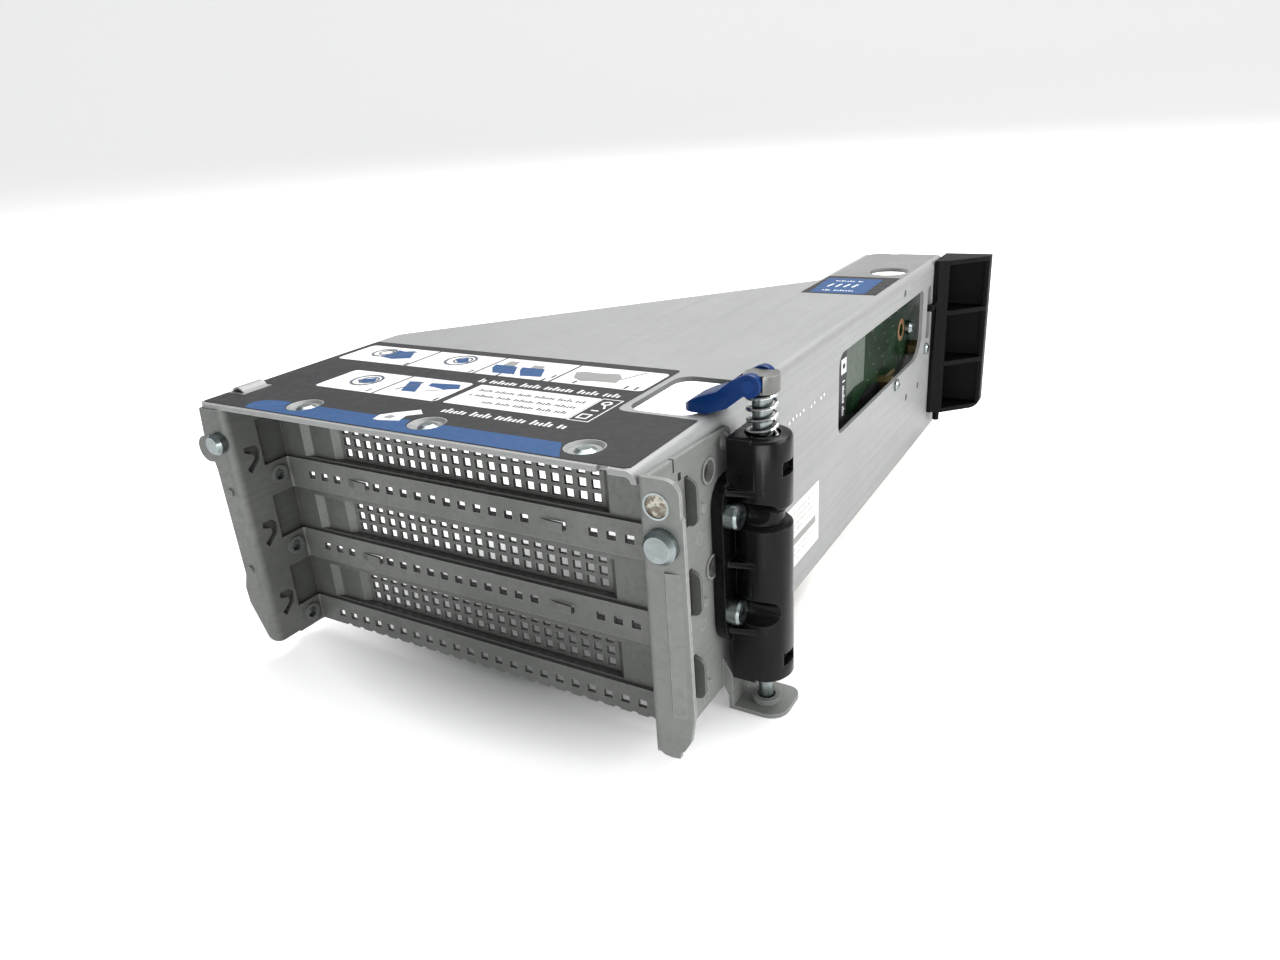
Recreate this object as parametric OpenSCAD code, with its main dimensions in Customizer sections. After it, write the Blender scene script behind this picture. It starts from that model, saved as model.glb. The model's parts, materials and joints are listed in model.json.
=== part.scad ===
// Riser cage bracket: a folded sheet-steel cage that holds expansion cards beside a riser board.
// Millimetres. Built on the cage's datum: X from the inner face of the left wall, Y from the front
// face of the slot webs (positive towards the back), Z from the surface that the cage stands on.
// to_frame() then moves that datum so that the origin is under the middle of the whole part.

/* [Cage] */
// Width from the left wall's inner face to the side wall's outer face
cage_w = 114.5; // [112:0.5:120]
// Height of the top plate's upper face
cage_h = 69.5; // [69:0.5:74]
// Length of the cage behind the web plane
cage_l = 208; // [204:1:230]
// How far the flanges stand in front of the web plane
nose_l = 15; // [13:0.5:18]
// Thickness of the top plate and side wall sheet
frame_t = 1.2; // [1:0.1:1.5]
// Thickness of the slot panel and of the latch bracket
panel_t = 1; // [0.8:0.1:1.2]
// Outer radius of the long bend between top plate and side wall
bend_r = 2.4; // [2:0.1:4]
// Height of the side wall's lower edge
wall_foot = 5.8; // [4:0.1:8]

/* [Top plate] */
// How far the top plate stands out past the left wall
top_overhang = 8; // [6:0.5:12]
// Depth of the wide part of the top plate behind the web plane
wide_l = 53; // [48:1:60]
// Width of the narrow strip along the side wall
strip_w = 28; // [25:0.5:32]
// Y where the slanted edge meets the narrow strip
strip_from = 155; // [148:1:165]
// Width of the finger opening
finger_w = 16.5; // [14:0.5:20]
// Length of the finger opening
finger_l = 26; // [22:1:32]
// Y of the finger opening's front edge
finger_y = 15; // [12:0.5:18]
// Strip of sheet left between the finger opening and the side wall
finger_edge = 4; // [3:0.5:6]
// Radius of the round hole in the narrow strip
strip_hole_r = 6.5; // [5:0.5:8]
// Radius of the clinched seats along the front edge
seat_r = 4; // [3:0.25:5]

/* [Slots] */
// Distance from slot to slot
slot_pitch = 20.32; // [19.8:0.01:21]
// Height of a web between two slots
web_h = 8.26; // [7:0.01:9]
// Side of a vent hole in a web, along X
web_vent_w = 2.3; // [1.6:0.1:2.8]
// Height of a vent hole in a web
web_vent_h = 2; // [1.4:0.1:2.6]
// Distance between vent holes in a web
web_vent_pitch = 4.5; // [4:0.1:6]
// Height of a raised tongue lanced from a web
lance_h = 0.9; // [0.6:0.1:1.6]
// Length of a raised tongue
lance_l = 6.6; // [5:0.1:7.5]

/* [Slot covers] */
// Thickness of a slot cover
cover_t = 0.9; // [0.7:0.05:1]
// Height of a slot cover
cover_h = 18.4; // [17.5:0.1:19]
// Height of the pressed vent field
field_h = 11.4; // [10.5:0.1:11.8]
// Depth of the vent field behind the cover's border
field_depth = 2.3; // [1.6:0.1:3]
// Side of a square vent hole
vent = 2.2; // [1.6:0.1:2.5]
// Distance between vent holes along the cover
vent_pitch_x = 3.5; // [3.2:0.1:4]
// Distance between rows of vent holes
vent_pitch_z = 3.06; // [2.9:0.02:3.3]
// Number of vent holes in a row
vent_count = 22; // [10:1:22]
// Height of the tongue that passes through the side wall
tongue_h = 10.2; // [8:0.1:11]
// How far the tongue stands out of the latch bracket
tongue_out = 2.4; // [1.5:0.1:4]

/* [Flanges] */
// Width of the right flange
right_flange_w = 8.8; // [8:0.1:11]
// Width of the left flange past the left wall's inner face
left_flange_w = 8; // [7:0.1:9]
// Radius of the clinched rivet in the right flange
flange_rivet_r = 2.3; // [1.8:0.1:2.4]
// Radius of the right flange's locating stud
right_stud_r = 3.4; // [3:0.1:4]
// Radius of the left flange's locating stud
left_stud_r = 2.7; // [2.4:0.1:3.2]
// Height of the locating studs
stud_h = 2.4; // [1.8:0.1:3.2]

/* [Captive screw] */
// Distance of the screw's axis from the side wall's outer face
latch_out = 8.7; // [8.2:0.1:11]
// Y of the screw's axis
latch_y = 20.8; // [20:0.1:26]
// Radius of the housing's barrel
barrel_r = 6.2; // [5.8:0.1:7]
// Radius of the screw's shank
shank_r = 2.1; // [1.6:0.1:2.3]
// Clearance of the shank in its housing
shank_gap = 0.3; // [0.1:0.05:0.5]
// Travel of the screw as it lifts out of its thread
lift = 5; // [3:0.5:6]
// Radius of the spring's wire
wire_r = 0.4; // [0.3:0.05:0.5]
// Mean radius of the spring
spring_r = 3; // [2.9:0.05:3.2]
// Number of turns of the spring
spring_turns = 6; // [4:1:8]
// Radius of the steel cap's round side
cap_r = 3.7; // [3.6:0.1:4.2]
// Height of the steel cap
cap_h = 3.6; // [3.4:0.1:5]
// Width of the cap between the lever's arms
cap_w = 4.9; // [4.5:0.1:5.2]
// Radius of the lever's pivot pin
pin_r = 0.8; // [0.7:0.05:0.9]
// Distance of the pivot pin from the screw's axis, towards the lever's tip
pin_back = 1; // [0.6:0.1:1.2]
// Running clearance of the lever on its pin
pin_gap = 0.05; // [0.03:0.01:0.1]
// Width of the lever
lever_w = 9; // [8.4:0.1:10]
// Length of the lever from its pin to its tip
lever_l = 16.6; // [15:0.1:18]

/* [Riser board] */
// Thickness of the board
board_t = 1.6; // [1.2:0.1:2]
// Gap between the board and the side wall
board_gap = 4.3; // [3.5:0.1:5]
// Y of the board's front edge
board_y0 = 30; // [29:1:36]
// Distance of the board's back edge from the cage's
board_short = 4; // [3:0.5:8]
// Length of a card connector
socket_l = 86; // [56:1:88]
// Height of a card connector off the board
socket_out = 11.2; // [9:0.1:12]
// Width of a card connector
socket_w = 7.6; // [7:0.1:8.6]

/* [End baffle] */
// How far the baffle stands out from the side wall
baffle_out = 16.5; // [13:0.5:20]
// Length of the baffle beside the wall
baffle_l = 17; // [14:0.5:22]
// Thickness of the baffle's walls
baffle_t = 1.6; // [1.2:0.1:2]
// Height of the baffle's lower face
baffle_z = 12.8; // [10:0.2:16]

/* [Hidden] */
$fn = 48;
eps = 0.01;
seat = 0.02;                                // gap between pieces that lie face to face

top_under = cage_h - frame_t;               // under face of the top plate
wall_in = cage_w - frame_t;                 // inner face of the side wall
bracket_x = cage_w + panel_t;               // outer face of the latch bracket
left_out = -panel_t;                        // outer face of the left wall
front_y = -nose_l - panel_t / 2;            // front face of the flanges
slot_drop = 12.34;                          // from the top plate down to the first slot's centre

// Height of the centre of slot k, and of the web below it
function slot_z(k) = cage_h - slot_drop - k * slot_pitch;
function web_z(k) = slot_z(k) - slot_pitch / 2;

// Lower edge of web k; the lowest one is narrower
function web_foot(k) = web_z(k) - web_h / 2 + (k == 2 ? 0.9 : 0);

latch_x = cage_w + latch_out;
pin_x = latch_x - pin_back;
foot_t = panel_t;

// The part's extent sets the origin: under the middle of the whole part
ear_r = 3.4;
ear_x = -left_flange_w - 0.3;
extent_x = [ear_x - ear_r, cage_w + baffle_out];
extent_y = [front_y - stud_h, cage_l + 4];
mid_x = (extent_x[0] + extent_x[1]) / 2;
mid_y = (extent_y[0] + extent_y[1]) / 2;

module to_frame() {
    translate([-mid_x, -mid_y, 0]) children();
}

// ---------- helpers ----------

// Points of the arc that rounds corner p1 between its neighbours p0 and p2
function corner(p0, p1, p2, r, n = 5) =
    r == 0 ? [p1] :
    let (a = (p0 - p1) / norm(p0 - p1),
         b = (p2 - p1) / norm(p2 - p1),
         half = acos(a * b) / 2,
         c = p1 + (a + b) / norm(a + b) * r / sin(half),
         s = p1 + a * r / tan(half) - c,
         e = p1 + b * r / tan(half) - c,
         a0 = atan2(s[1], s[0]),
         turn = atan2(e[1], e[0]) - a0,
         sweep = turn > 180 ? turn - 360 : turn < -180 ? turn + 360 : turn)
    [for (i = [0:n]) c + r * [cos(a0 + sweep * i / n), sin(a0 + sweep * i / n)]];

// Outline through [x, y, corner radius] triples
function rounded(pts) = [for (i = [0:len(pts) - 1])
    let (m = len(pts), p = pts[(i + m - 1) % m], q = pts[i], s = pts[(i + 1) % m])
    each corner([p[0], p[1]], [q[0], q[1]], [s[0], s[1]], q[2])];

// A flat outline in the XZ plane, extruded from y0 to y1
module along_y(y0, y1) {
    translate([0, y1, 0]) rotate([90, 0, 0]) linear_extrude(y1 - y0) children();
}

// A flat outline in the YZ plane, extruded from x0 to x1
module along_x(x0, x1) {
    translate([x0, 0, 0]) rotate([90, 0, 90]) linear_extrude(x1 - x0) children();
}

// A flat outline in the XY plane, extruded from z0 to z1
module along_z(z0, z1) {
    translate([0, 0, z0]) linear_extrude(z1 - z0) children();
}

// A box between two corners
module span(a, b) {
    translate(a) cube(b - a);
}

// A rod along Y, X or Z between two ends
module rod_y(x, z, y0, y1, r) {
    translate([x, y0, z]) rotate([-90, 0, 0]) cylinder(h = y1 - y0, r = r);
}
module rod_x(y, z, x0, x1, r) {
    translate([x0, y, z]) rotate([0, 90, 0]) cylinder(h = x1 - x0, r = r);
}
module rod_z(x, y, z0, z1, r) {
    translate([x, y, z0]) cylinder(h = z1 - z0, r = r);
}

// A strip of sheet through the points of a path, thick along Y
module strip_y(path, t) {
    for (i = [0:len(path) - 2])
        polygon([path[i], path[i + 1], path[i + 1] + [0, t], path[i] + [0, t]]);
}

// ---------- main frame: top plate and side wall, one folded sheet ----------

finger_x1 = cage_w - finger_edge;
finger_x0 = finger_x1 - finger_w;
strip_x = cage_w - strip_w;
strip_hole = [cage_w - 10, cage_l - 35];
seats = [[cage_w - 93.7, -7.4], [cage_w - 55.9, -7.4], [cage_w - 15.7, -7.4]];
seat_depth = 0.7;
slant_r = 5;

window = [cage_l - 114.5, cage_l - 25.5];   // Y limits of the board window
window_z = [cage_h - 31, cage_h - 7.5];     // its height limits
snap_y = [cage_l - 20, cage_l - 15];        // Y limits of the baffle's snap opening
snap_z = [cage_h - 27, cage_h - 7.8];
wall_holes = [[cage_l - 50, cage_h - 4], [cage_l - 28, cage_h - 41.5], [cage_l - 43, cage_h - 41.5]];
wall_hole_r = 1.3;

top_outline = rounded([
    [-top_overhang, -nose_l, 1.5], [cage_w, -nose_l, 0], [cage_w, cage_l, 2],
    [strip_x + 4, cage_l, 1], [strip_x, cage_l - 4, 1], [strip_x, strip_from, 4],
    [-top_overhang, wide_l, slant_r]]);

module bend_profile() {
    difference() {
        union() {
            translate([-top_overhang, top_under]) square([cage_w + top_overhang - bend_r + eps, frame_t]);
            translate([wall_in, wall_foot]) square([frame_t, cage_h - bend_r - wall_foot + eps]);
            intersection() {
                translate([cage_w - bend_r, cage_h - bend_r]) circle(r = bend_r);
                translate([cage_w - bend_r, cage_h - bend_r]) square(bend_r);
            }
        }
        translate([cage_w - bend_r, cage_h - bend_r]) circle(r = bend_r - frame_t);
    }
}

module fastener_holes(r) {
    for (p = rear_screws) rod_x(p[0], p[1], board_x - 1, bracket_x + 1, r);
}

module main_frame() {
    color("lightsteelblue") to_frame() difference() {
        intersection() {
            along_y(-nose_l, cage_l) bend_profile();
            along_z(0, cage_h) polygon(top_outline);
        }
        // Front of the side wall, where the latch bracket's flange takes over
        span([wall_in - 1, -nose_l - 1, 0], [cage_w + 1, -2, cage_h - bend_r]);
        // Finger opening, round hole and edge notches
        along_z(top_under - 1, cage_h + 1) polygon(rounded([
            [finger_x0, finger_y, 4], [finger_x1, finger_y, 4],
            [finger_x1, finger_y + finger_l, 4], [finger_x0, finger_y + finger_l, 4]]));
        rod_z(strip_hole[0], strip_hole[1], top_under - 1, cage_h + 1, strip_hole_r);
        span([cage_w - 19.5, cage_l - 1.5, top_under - 1], [cage_w - 16.5, cage_l + 1, cage_h + 1]);
        span([cage_w - 8.5, -nose_l - 1, top_under - 1], [cage_w - 6, -nose_l + 1.5, cage_h + 1]);
        // Pressed seats of the front rivets
        for (s = seats) translate([s[0], s[1], cage_h - seat_depth]) {
            cylinder(h = seat_depth + eps, r1 = seat_r - seat_depth, r2 = seat_r);
            translate([0, 0, -frame_t]) cylinder(h = frame_t, r = rivet_r);
        }
        // Board window with round corners
        along_x(wall_in - 1, cage_w + 1) polygon(rounded([
            [window[0], window_z[0], 3], [window[1], window_z[0], 9],
            [window[1], window_z[1], 3], [window[0], window_z[1], 4]]));
        // Snap opening at the back, rounded all round
        along_x(wall_in - 1, cage_w + 1) polygon(rounded([
            [snap_y[0], snap_z[0], 2.4], [snap_y[1], snap_z[0], 2.4],
            [snap_y[1], snap_z[1], 2.4], [snap_y[0], snap_z[1], 2.4]]));
        for (h = wall_holes) rod_x(h[0], h[1], wall_in - 1, cage_w + 1, wall_hole_r);
        fastener_holes(thread_r + seat);
        for (p = side_holes) rod_x(p[0], p[1], wall_in - 1, cage_w + 1, side_hole_r + 1);
        for (p = tab_rivet_at) rod_x(p[0], p[1], wall_in - 1, cage_w + 1, rivet_r);
        for (p = housing_screw_at) rod_x(p[0], p[1], wall_in - 1, cage_w + 1, thread_r + seat);
        for (k = [0:2]) tongue_slot(k);
    }
    // Small tab pressed up at the plate's left edge
    color("lightsteelblue") to_frame() difference() {
        along_y(-6, 1) translate([-top_overhang + 3, cage_h - 1.2]) circle(r = 2.6);
        span([-top_overhang - 1, -7, cage_h - 5], [2, 2, cage_h - eps]);
        along_y(-7, 2) translate([-top_overhang + 3, cage_h - 1.2]) circle(r = 2.6 - panel_t / 2);
    }
}

// Slot through side wall and bracket for the tongue of cover k
tongue_gap = 0.3;
module tongue_slot(k) {
    span([wall_in - 1, cover_y - tongue_gap, slot_z(k) - tongue_h / 2 - tongue_gap],
        [bracket_x + 1, cover_y + cover_t + tongue_gap, slot_z(k) + tongue_h / 2 + tongue_gap]);
}

// ---------- slot panel: webs, left wall and left flange, one folded sheet ----------

web_count = floor((cage_w - 19) / web_vent_pitch) + 1;
web_first = 8;
lance_left = [3, 4];                        // vent places taken by the left raised tongue
lance_right = [web_count - 6, web_count - 4];
panel_right = wall_in - seat;               // outer face of the panel's right tabs
tab_l = 11;
wall_back = -8;                             // Y where the left wall's windows begin
fold_r = 1.6;                               // outer radius of the panel's folds
rail_z = cage_h - 6.3;                      // lower edge of the panel's top rail
rail_top = top_under - seat;
boss_y = -3.7;
boss_up = 0.7;                              // how far the screws lie above the webs' middle
left_foot = wall_foot - 2.2;

// Plan of a web: shelf on the left wall, web, tab along the side wall
module web_plan() {
    translate([left_out, wall_back]) square([panel_t, -wall_back - fold_r + panel_t + eps]);
    fold(left_out + fold_r, panel_t - fold_r, [-1, 0]);
    translate([left_out + fold_r - eps, 0]) square([panel_right - left_out - 2 * (fold_r - eps), panel_t]);
    fold(panel_right - fold_r, fold_r, [0, -1]);
    translate([panel_right - panel_t, fold_r - eps]) square([panel_t, tab_l - fold_r + eps]);
}

// Quarter of a sheet's fold round (x, y): side [-1, 0] is its upper left quarter
module fold(x, y, side) {
    translate([x, y]) difference() {
        intersection() {
            circle(r = fold_r);
            translate([side[0] * fold_r, side[1] * fold_r]) square(fold_r);
        }
        circle(r = fold_r - panel_t);
    }
}

// A raised tongue from vent place a of web k
module lance(k, a) {
    x0 = web_first + (a - 0.1) * web_vent_pitch;
    x1 = x0 + lance_l;
    along_z(web_z(k) - web_vent_h / 2, web_z(k) + web_vent_h / 2)
        polygon([[x0, 0], [x0 + 2.6, -lance_h * 0.8], [x1, -lance_h], [x1, -lance_h + panel_t * 0.7],
            [x0 + 3, -lance_h * 0.8 + panel_t * 0.7], [x0 + 1.2, 0.2]]);
}

module web_cuts(k, low) {
    plain = [for (i = [0:web_count - 1])
        if (low || !((i >= lance_left[0] && i <= lance_left[1])
            || (i >= lance_right[0] && i <= lance_right[1]))) i];
    for (i = plain)
        span([web_first + i * web_vent_pitch - web_vent_w / 2, -1, web_z(k) - web_vent_h / 2],
            [web_first + i * web_vent_pitch + web_vent_w / 2, panel_t + 1, web_z(k) + web_vent_h / 2]);
    if (!low) for (l = [lance_left, lance_right])
        span([web_first + (l[0] - 0.1) * web_vent_pitch + 1, -eps, web_z(k) - web_vent_h / 2],
            [web_first + (l[0] - 0.1) * web_vent_pitch + lance_l + 0.4, panel_t + 1,
                web_z(k) + web_vent_h / 2]);
}

// Hook-shaped slot in the left wall above web k
module hook_slot(k) {
    z = web_z(k);
    along_x(left_out - 1, 1)
        polygon([[-11.7, z + 10.5], [-8.7, z + 10.3], [-7.2, z + 8.8], [-7.8, z + 6.3], [-11, z + 3.4],
            [-12, z + 4.9], [-9.5, z + 6.7], [-9.5, z + 8.1], [-11.8, z + 9]]);
}

// Outline of the left flange and wall seen from the front, with the stud's round ear
module left_flange_outline() {
    edge = -left_flange_w;
    polygon(rounded([[1, left_foot, 0], [1, cage_h, 0], [edge + 0.3, cage_h - 0.6, 1.5],
        [edge - 0.4, cage_h - 8, 0], [edge + 1.4, cage_h - 17, 0], [edge + 1.7, 23, 1],
        [edge + 0.2, 19, 1], [edge + 0.4, 14.4, 3], [edge + 4.8, left_foot + 1, 1.5],
        [edge + 8, left_foot, 0]]));
    translate([ear_x, cage_h - 11.9]) circle(r = ear_r);
}

// Plan of the left flange and wall, one fold between them
wall_fold_r = 2.2;
module left_wall_plan() {
    translate([-wall_fold_r, front_y + wall_fold_r]) difference() {
        intersection() {
            circle(r = wall_fold_r);
            translate([0, -wall_fold_r]) square(wall_fold_r);
        }
        circle(r = wall_fold_r - panel_t);
    }
    translate([left_out, front_y + wall_fold_r]) square([panel_t, wall_back - front_y - wall_fold_r + 1]);
    translate([ear_x - ear_r - 1, front_y]) square([ear_r + 1 - ear_x - wall_fold_r, panel_t]);
}

module io_panel() {
    color("silver") to_frame() difference() {
        union() {
            for (k = [0:2])
                along_z(web_foot(k), web_z(k) + web_h / 2) web_plan();
            // Left flange and the wall in front of the slots
            intersection() {
                along_z(0, rail_top) left_wall_plan();
                along_y(front_y - 1, 0) left_flange_outline();
            }
            // Top rail with its flange forward under the top plate
            span([left_out + fold_r, 0, rail_z], [panel_right - panel_t, panel_t, rail_top]);
            span([6, -12.5, rail_top - panel_t], [panel_right - 8, panel_t, rail_top]);
            span([left_out, wall_back, rail_z], [0, panel_t, rail_top]);
            span([left_out, 0, rail_z], [left_out + fold_r + eps, panel_t, rail_top]);
            for (k = [0:1]) {
                lance(k, lance_left[0]);
                lance(k, lance_right[0]);
            }
            // Extruded screw bosses on the shelves
            for (k = [0:2]) rod_x(boss_y, web_z(k) + boss_up, -eps, 0.8, thread_r + 0.8);
            // Half-shear buttons beside the flange
            for (z = [web_z(0) - 0.3, web_z(1) - 1.5])
                rod_y(-wall_fold_r - 1.2, z, front_y - 0.5, front_y + eps, 1);
        }
        for (k = [0:2]) {
            web_cuts(k, k == 2);
            hook_slot(k);
            rod_x(boss_y, web_z(k) + boss_up, left_out - 1, 2.5, thread_r + seat);
        }
        // Scalloped lower edge of the lowest web
        for (i = [0:web_count - 1])
            rod_y(web_first + (i + 0.5) * web_vent_pitch, web_foot(2) - 0.7, -1, panel_t + 1, 1.2);
        rod_y(stud_at[0], stud_at[1], front_y - 1, 0, thread_r);
        for (s = seats) rod_z(s[0], s[1], rail_top - 3, cage_h, rivet_r);
        for (p = tab_rivet_at) rod_x(p[0], p[1], panel_right - 3, cage_w, rivet_r);
    }
}

// ---------- latch bracket: side ear, right flange and foot, one folded sheet ----------

right_edge = cage_w + right_flange_w;
ear_back = 21.7;
foot_top = wall_foot;
foot_leg_x = cage_w + 3.2;                  // outer face of the foot's leg
leg_top = wall_foot + 5;                    // height up to which the leg stands out
foot_y = [14.5, 27];
foot_x = cage_w + 15;
side_hole_r = 2.3;
side_holes = [[10.4, cage_h - 9.3], [10.6, cage_h - 31.1]];
button_at = [[6.9, cage_h - 16.1], [6.3, cage_h - 37.6], [6.3, cage_h - 57.9]];
rivet_at = [cage_w + 4, cage_h - 5.7];
rstud_at = [cage_w + 4.9, cage_h - 13.1];
flange_foot = wall_foot + 4.3;              // lower corner of the right flange
flange_tip = 9;                             // its lowest edge
rib_z = 19.5;                               // lower end of its pressed rib

module right_flange_outline() {
    polygon(rounded([[cage_w, flange_foot, 0], [cage_w, cage_h - 0.8, 0], [cage_w + 0.8, cage_h - 0.3, 0],
        [right_edge, cage_h - 0.3, 3], [right_edge, cage_h - 7.1, 0], [right_edge + 0.4, cage_h - 7.6, 0],
        [right_edge + 0.8, 20, 3], [right_edge - 0.3, 14, 2], [right_edge - 1.8, 11.4, 0],
        [right_edge - 2.6, 10.8, 0], [right_edge - 2.9, flange_tip + 0.3, 0],
        [right_edge - 4.6, flange_tip, 1], [right_edge - 6.4, flange_tip + 0.2, 0],
        [cage_w + 1, flange_foot, 0]]));
}

// Plan of the ear and the right flange, one fold between them
module ear_plan(x0) {
    r = wall_fold_r - 0.4;
    translate([x0 + r, front_y + r]) difference() {
        intersection() {
            circle(r = r);
            translate([-r, -r]) square(r);
        }
        circle(r = r - panel_t);
    }
    translate([x0, front_y + r]) square([panel_t, foot_y[1] - front_y - r]);
    translate([x0 + r, front_y]) square([right_edge + 1 - x0 - r, panel_t]);
}

// Side view of the ear, deeper at its lower end where the foot leaves it
module ear_side() {
    polygon(rounded([
        [front_y - 1, flange_foot, 0], [front_y - 1, cage_h - 1.2, 0], [ear_back, cage_h - 3, 2],
        [ear_back, 26, 0], [foot_y[1], 22, 0], [foot_y[1], foot_top + 3.5, 0],
        [foot_y[0], foot_top + 3.5, 0], [foot_y[0], wall_foot, 0], [-9, wall_foot, 2]]));
}

module latch_bracket() {
    ear_x0 = cage_w + seat;
    color("silver") to_frame() difference() {
        union() {
            // Ear on the side wall and flange in front, cut to their outlines
            intersection() {
                along_z(0, cage_h) ear_plan(ear_x0);
                union() {
                    along_x(ear_x0 - 1, bracket_x) ear_side();
                    along_y(front_y - 1, front_y + 2) right_flange_outline();
                }
            }
            // Pressed rib along the flange's lower part
            along_z(rib_z, cage_h - 18.5) translate([right_edge - 2.2, front_y])
                polygon([[-1.9, 0.1], [-1.3, -0.6], [2.2, 0.1]]);
            // Foot: leg set outwards, plate under the captive screw
            along_y(foot_y[0], foot_y[1]) polygon([
                [ear_x0, leg_top + 2.2], [bracket_x, leg_top + 2.2], [foot_leg_x, leg_top - 1.3],
                [foot_leg_x, 0], [foot_leg_x - foot_t, 0], [foot_leg_x - foot_t, leg_top - 1.6],
                [ear_x0, leg_top + 1]]);
            along_y(foot_y[0], foot_y[0] + foot_t) polygon([
                [bracket_x - eps, leg_top + 1.2], [foot_leg_x - eps, leg_top - 1.3],
                [foot_leg_x - eps, 1.5], [bracket_x - eps, wall_foot]]);
            along_z(0, foot_t) polygon(rounded([
                [foot_leg_x - foot_t, foot_y[0], 0], [foot_x, foot_y[0], 4.5],
                [foot_x, foot_y[1], 3], [foot_leg_x - foot_t, foot_y[1], 0]]));
            // Raised seat round the screw's hole in the foot
            rod_z(latch_x, latch_y, 0, foot_t + 1.1, tip_r + 1.6);
            // Extruded collars of the side holes
            for (p = side_holes) rod_x(p[0], p[1], bracket_x - eps, bracket_x + 0.5, side_hole_r + 0.5);
            for (p = button_at) translate([bracket_x, p[0], p[1]])
                rotate([0, 90, 0]) cylinder(h = 0.8, r1 = 1.5, r2 = 0.9);
            translate([bracket_x, ear_back - 3, cage_h - 5.8])
                rotate([0, 90, 0]) cylinder(h = 0.9, r1 = 2, r2 = 1.3);
        }
        rod_z(latch_x, latch_y, -1, foot_t + 2, tip_r + foot_gap);
        for (p = side_holes) rod_x(p[0], p[1], cage_w - 1, bracket_x + 1, side_hole_r);
        rod_y(rivet_at[0], rivet_at[1], front_y - 1, 0, flange_rivet_r);
        rod_y(rstud_at[0], rstud_at[1], front_y - 1, 0, thread_r);
        // Relief slit and notch at the corner of the fold
        span([cage_w - 1, -3.6, cage_h - 4.5], [bracket_x + 1, -2.9, cage_h]);
        span([cage_w - 1, -1.8, cage_h - 7], [bracket_x + 1, -0.4, cage_h - 5.2]);
        for (k = [0:2]) tongue_slot(k);
        for (p = tab_rivet_at) rod_x(p[0], p[1], cage_w - 1, bracket_x + 2, rivet_r);
        for (p = housing_screw_at) rod_x(p[0], p[1], cage_w - 1, bracket_x + 2, thread_r + seat);
    }
}

// ---------- slot covers ----------

cover_y = panel_t + 0.05;                   // front face of a cover's border
tab_gap = 0.3;                              // clearance of the tab behind the left wall
tab_front = -12.6;                          // its front edge, which covers the hook slots
cover_left = left_out - tab_gap - cover_t;  // its outer face
field_first = 19.5;
field_last = field_first + (vent_count - 1) * vent_pitch_x;
cover_right = wall_in - panel_t - 0.4;
step_depth = field_depth / 2;

module cover_plan() {
    strip_y([[cover_left + eps, cover_y], [6, cover_y], [8, cover_y + step_depth],
        [field_first - 4, cover_y + step_depth], [field_first - 2.2, cover_y + field_depth],
        [field_last + 2.2, cover_y + field_depth], [field_last + 4.6, cover_y],
        [cover_right, cover_y]], cover_t);
}

module cover(k) {
    z = slot_z(k);
    low = z - field_h / 2 - 0.75;
    high = low + field_h;
    difference() {
        union() {
            // Border above and below the field, and the stepped field
            span([cover_left + eps, cover_y, high - eps], [cover_right, cover_y + cover_t, z + cover_h / 2]);
            span([cover_left + eps, cover_y, z - cover_h / 2], [cover_right, cover_y + cover_t, low + eps]);
            along_z(low, high) cover_plan();
            // Top and bottom walls of the pressed field
            for (e = [low, high - cover_t])
                along_z(e, e + cover_t) polygon([[6, cover_y], [8, cover_y + step_depth + cover_t],
                    [field_first - 4, cover_y + step_depth + cover_t],
                    [field_first - 2.2, cover_y + field_depth + cover_t],
                    [field_last + 2.2, cover_y + field_depth + cover_t], [field_last + 4.6, cover_y]]);
            // Tab forward along the left wall's outer face
            span([cover_left, tab_front, z - cover_h / 2],
                [cover_left + cover_t, cover_y + cover_t, z + cover_h / 2]);
            // Tongue through the side wall
            along_y(cover_y, cover_y + cover_t) polygon(rounded([
                [cover_right - eps, z - tongue_h / 2, 0], [bracket_x + tongue_out, z - tongue_h / 2, 2],
                [bracket_x + tongue_out, z + tongue_h / 2, 2], [cover_right - eps, z + tongue_h / 2, 0]]));
        }
        for (i = [0:vent_count - 1], j = [-1:1])
            span([field_first + i * vent_pitch_x - vent / 2, cover_y - 1,
                    z - 0.75 + j * vent_pitch_z - vent / 2],
                [field_first + i * vent_pitch_x + vent / 2, cover_y + field_depth + 2,
                    z - 0.75 + j * vent_pitch_z + vent / 2]);
        // Half-open notches for the screws above and below
        for (w = [web_z(k) + boss_up, web_z(k) + slot_pitch + boss_up])
            rod_x(boss_y, w, cover_left - 1, left_out, thread_r + 0.3);
    }
}

module slot_cover_top() { color("gainsboro") to_frame() cover(0); }
module slot_cover_middle() { color("gainsboro") to_frame() cover(1); }
module slot_cover_bottom() { color("gainsboro") to_frame() cover(2); }

// ---------- fasteners ----------

thread_r = 1.5;
rivet_r = 1.2;
stud_at = [ear_x + 5.5, cage_h - 9.6];
tab_rivet_at = [for (k = [0:2]) [6, web_z(k) + (k == 2 ? 1.6 : 0)]];

// A pan head at the origin, its flat side at z = 0, with a cross recess
module pan_head(r, h) {
    difference() {
        union() {
            cylinder(h = h * 0.6, r = r);
            translate([0, 0, h * 0.6]) cylinder(h = h * 0.4, r1 = r, r2 = r * 0.7);
        }
        for (a = [0, 90]) rotate(a) translate([-r * 0.5, -r * 0.11, h * 0.45]) cube([r, r * 0.22, h]);
    }
}

module cover_screws() {
    color("lightgray") to_frame() for (k = [0:2])
        translate([cover_left - seat, boss_y, web_z(k) + boss_up]) rotate([0, -90, 0]) {
            pan_head(3.4, 2);
            translate([0, 0, -1.9]) cylinder(h = 1.9 + eps, r = thread_r);
        }
}

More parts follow.
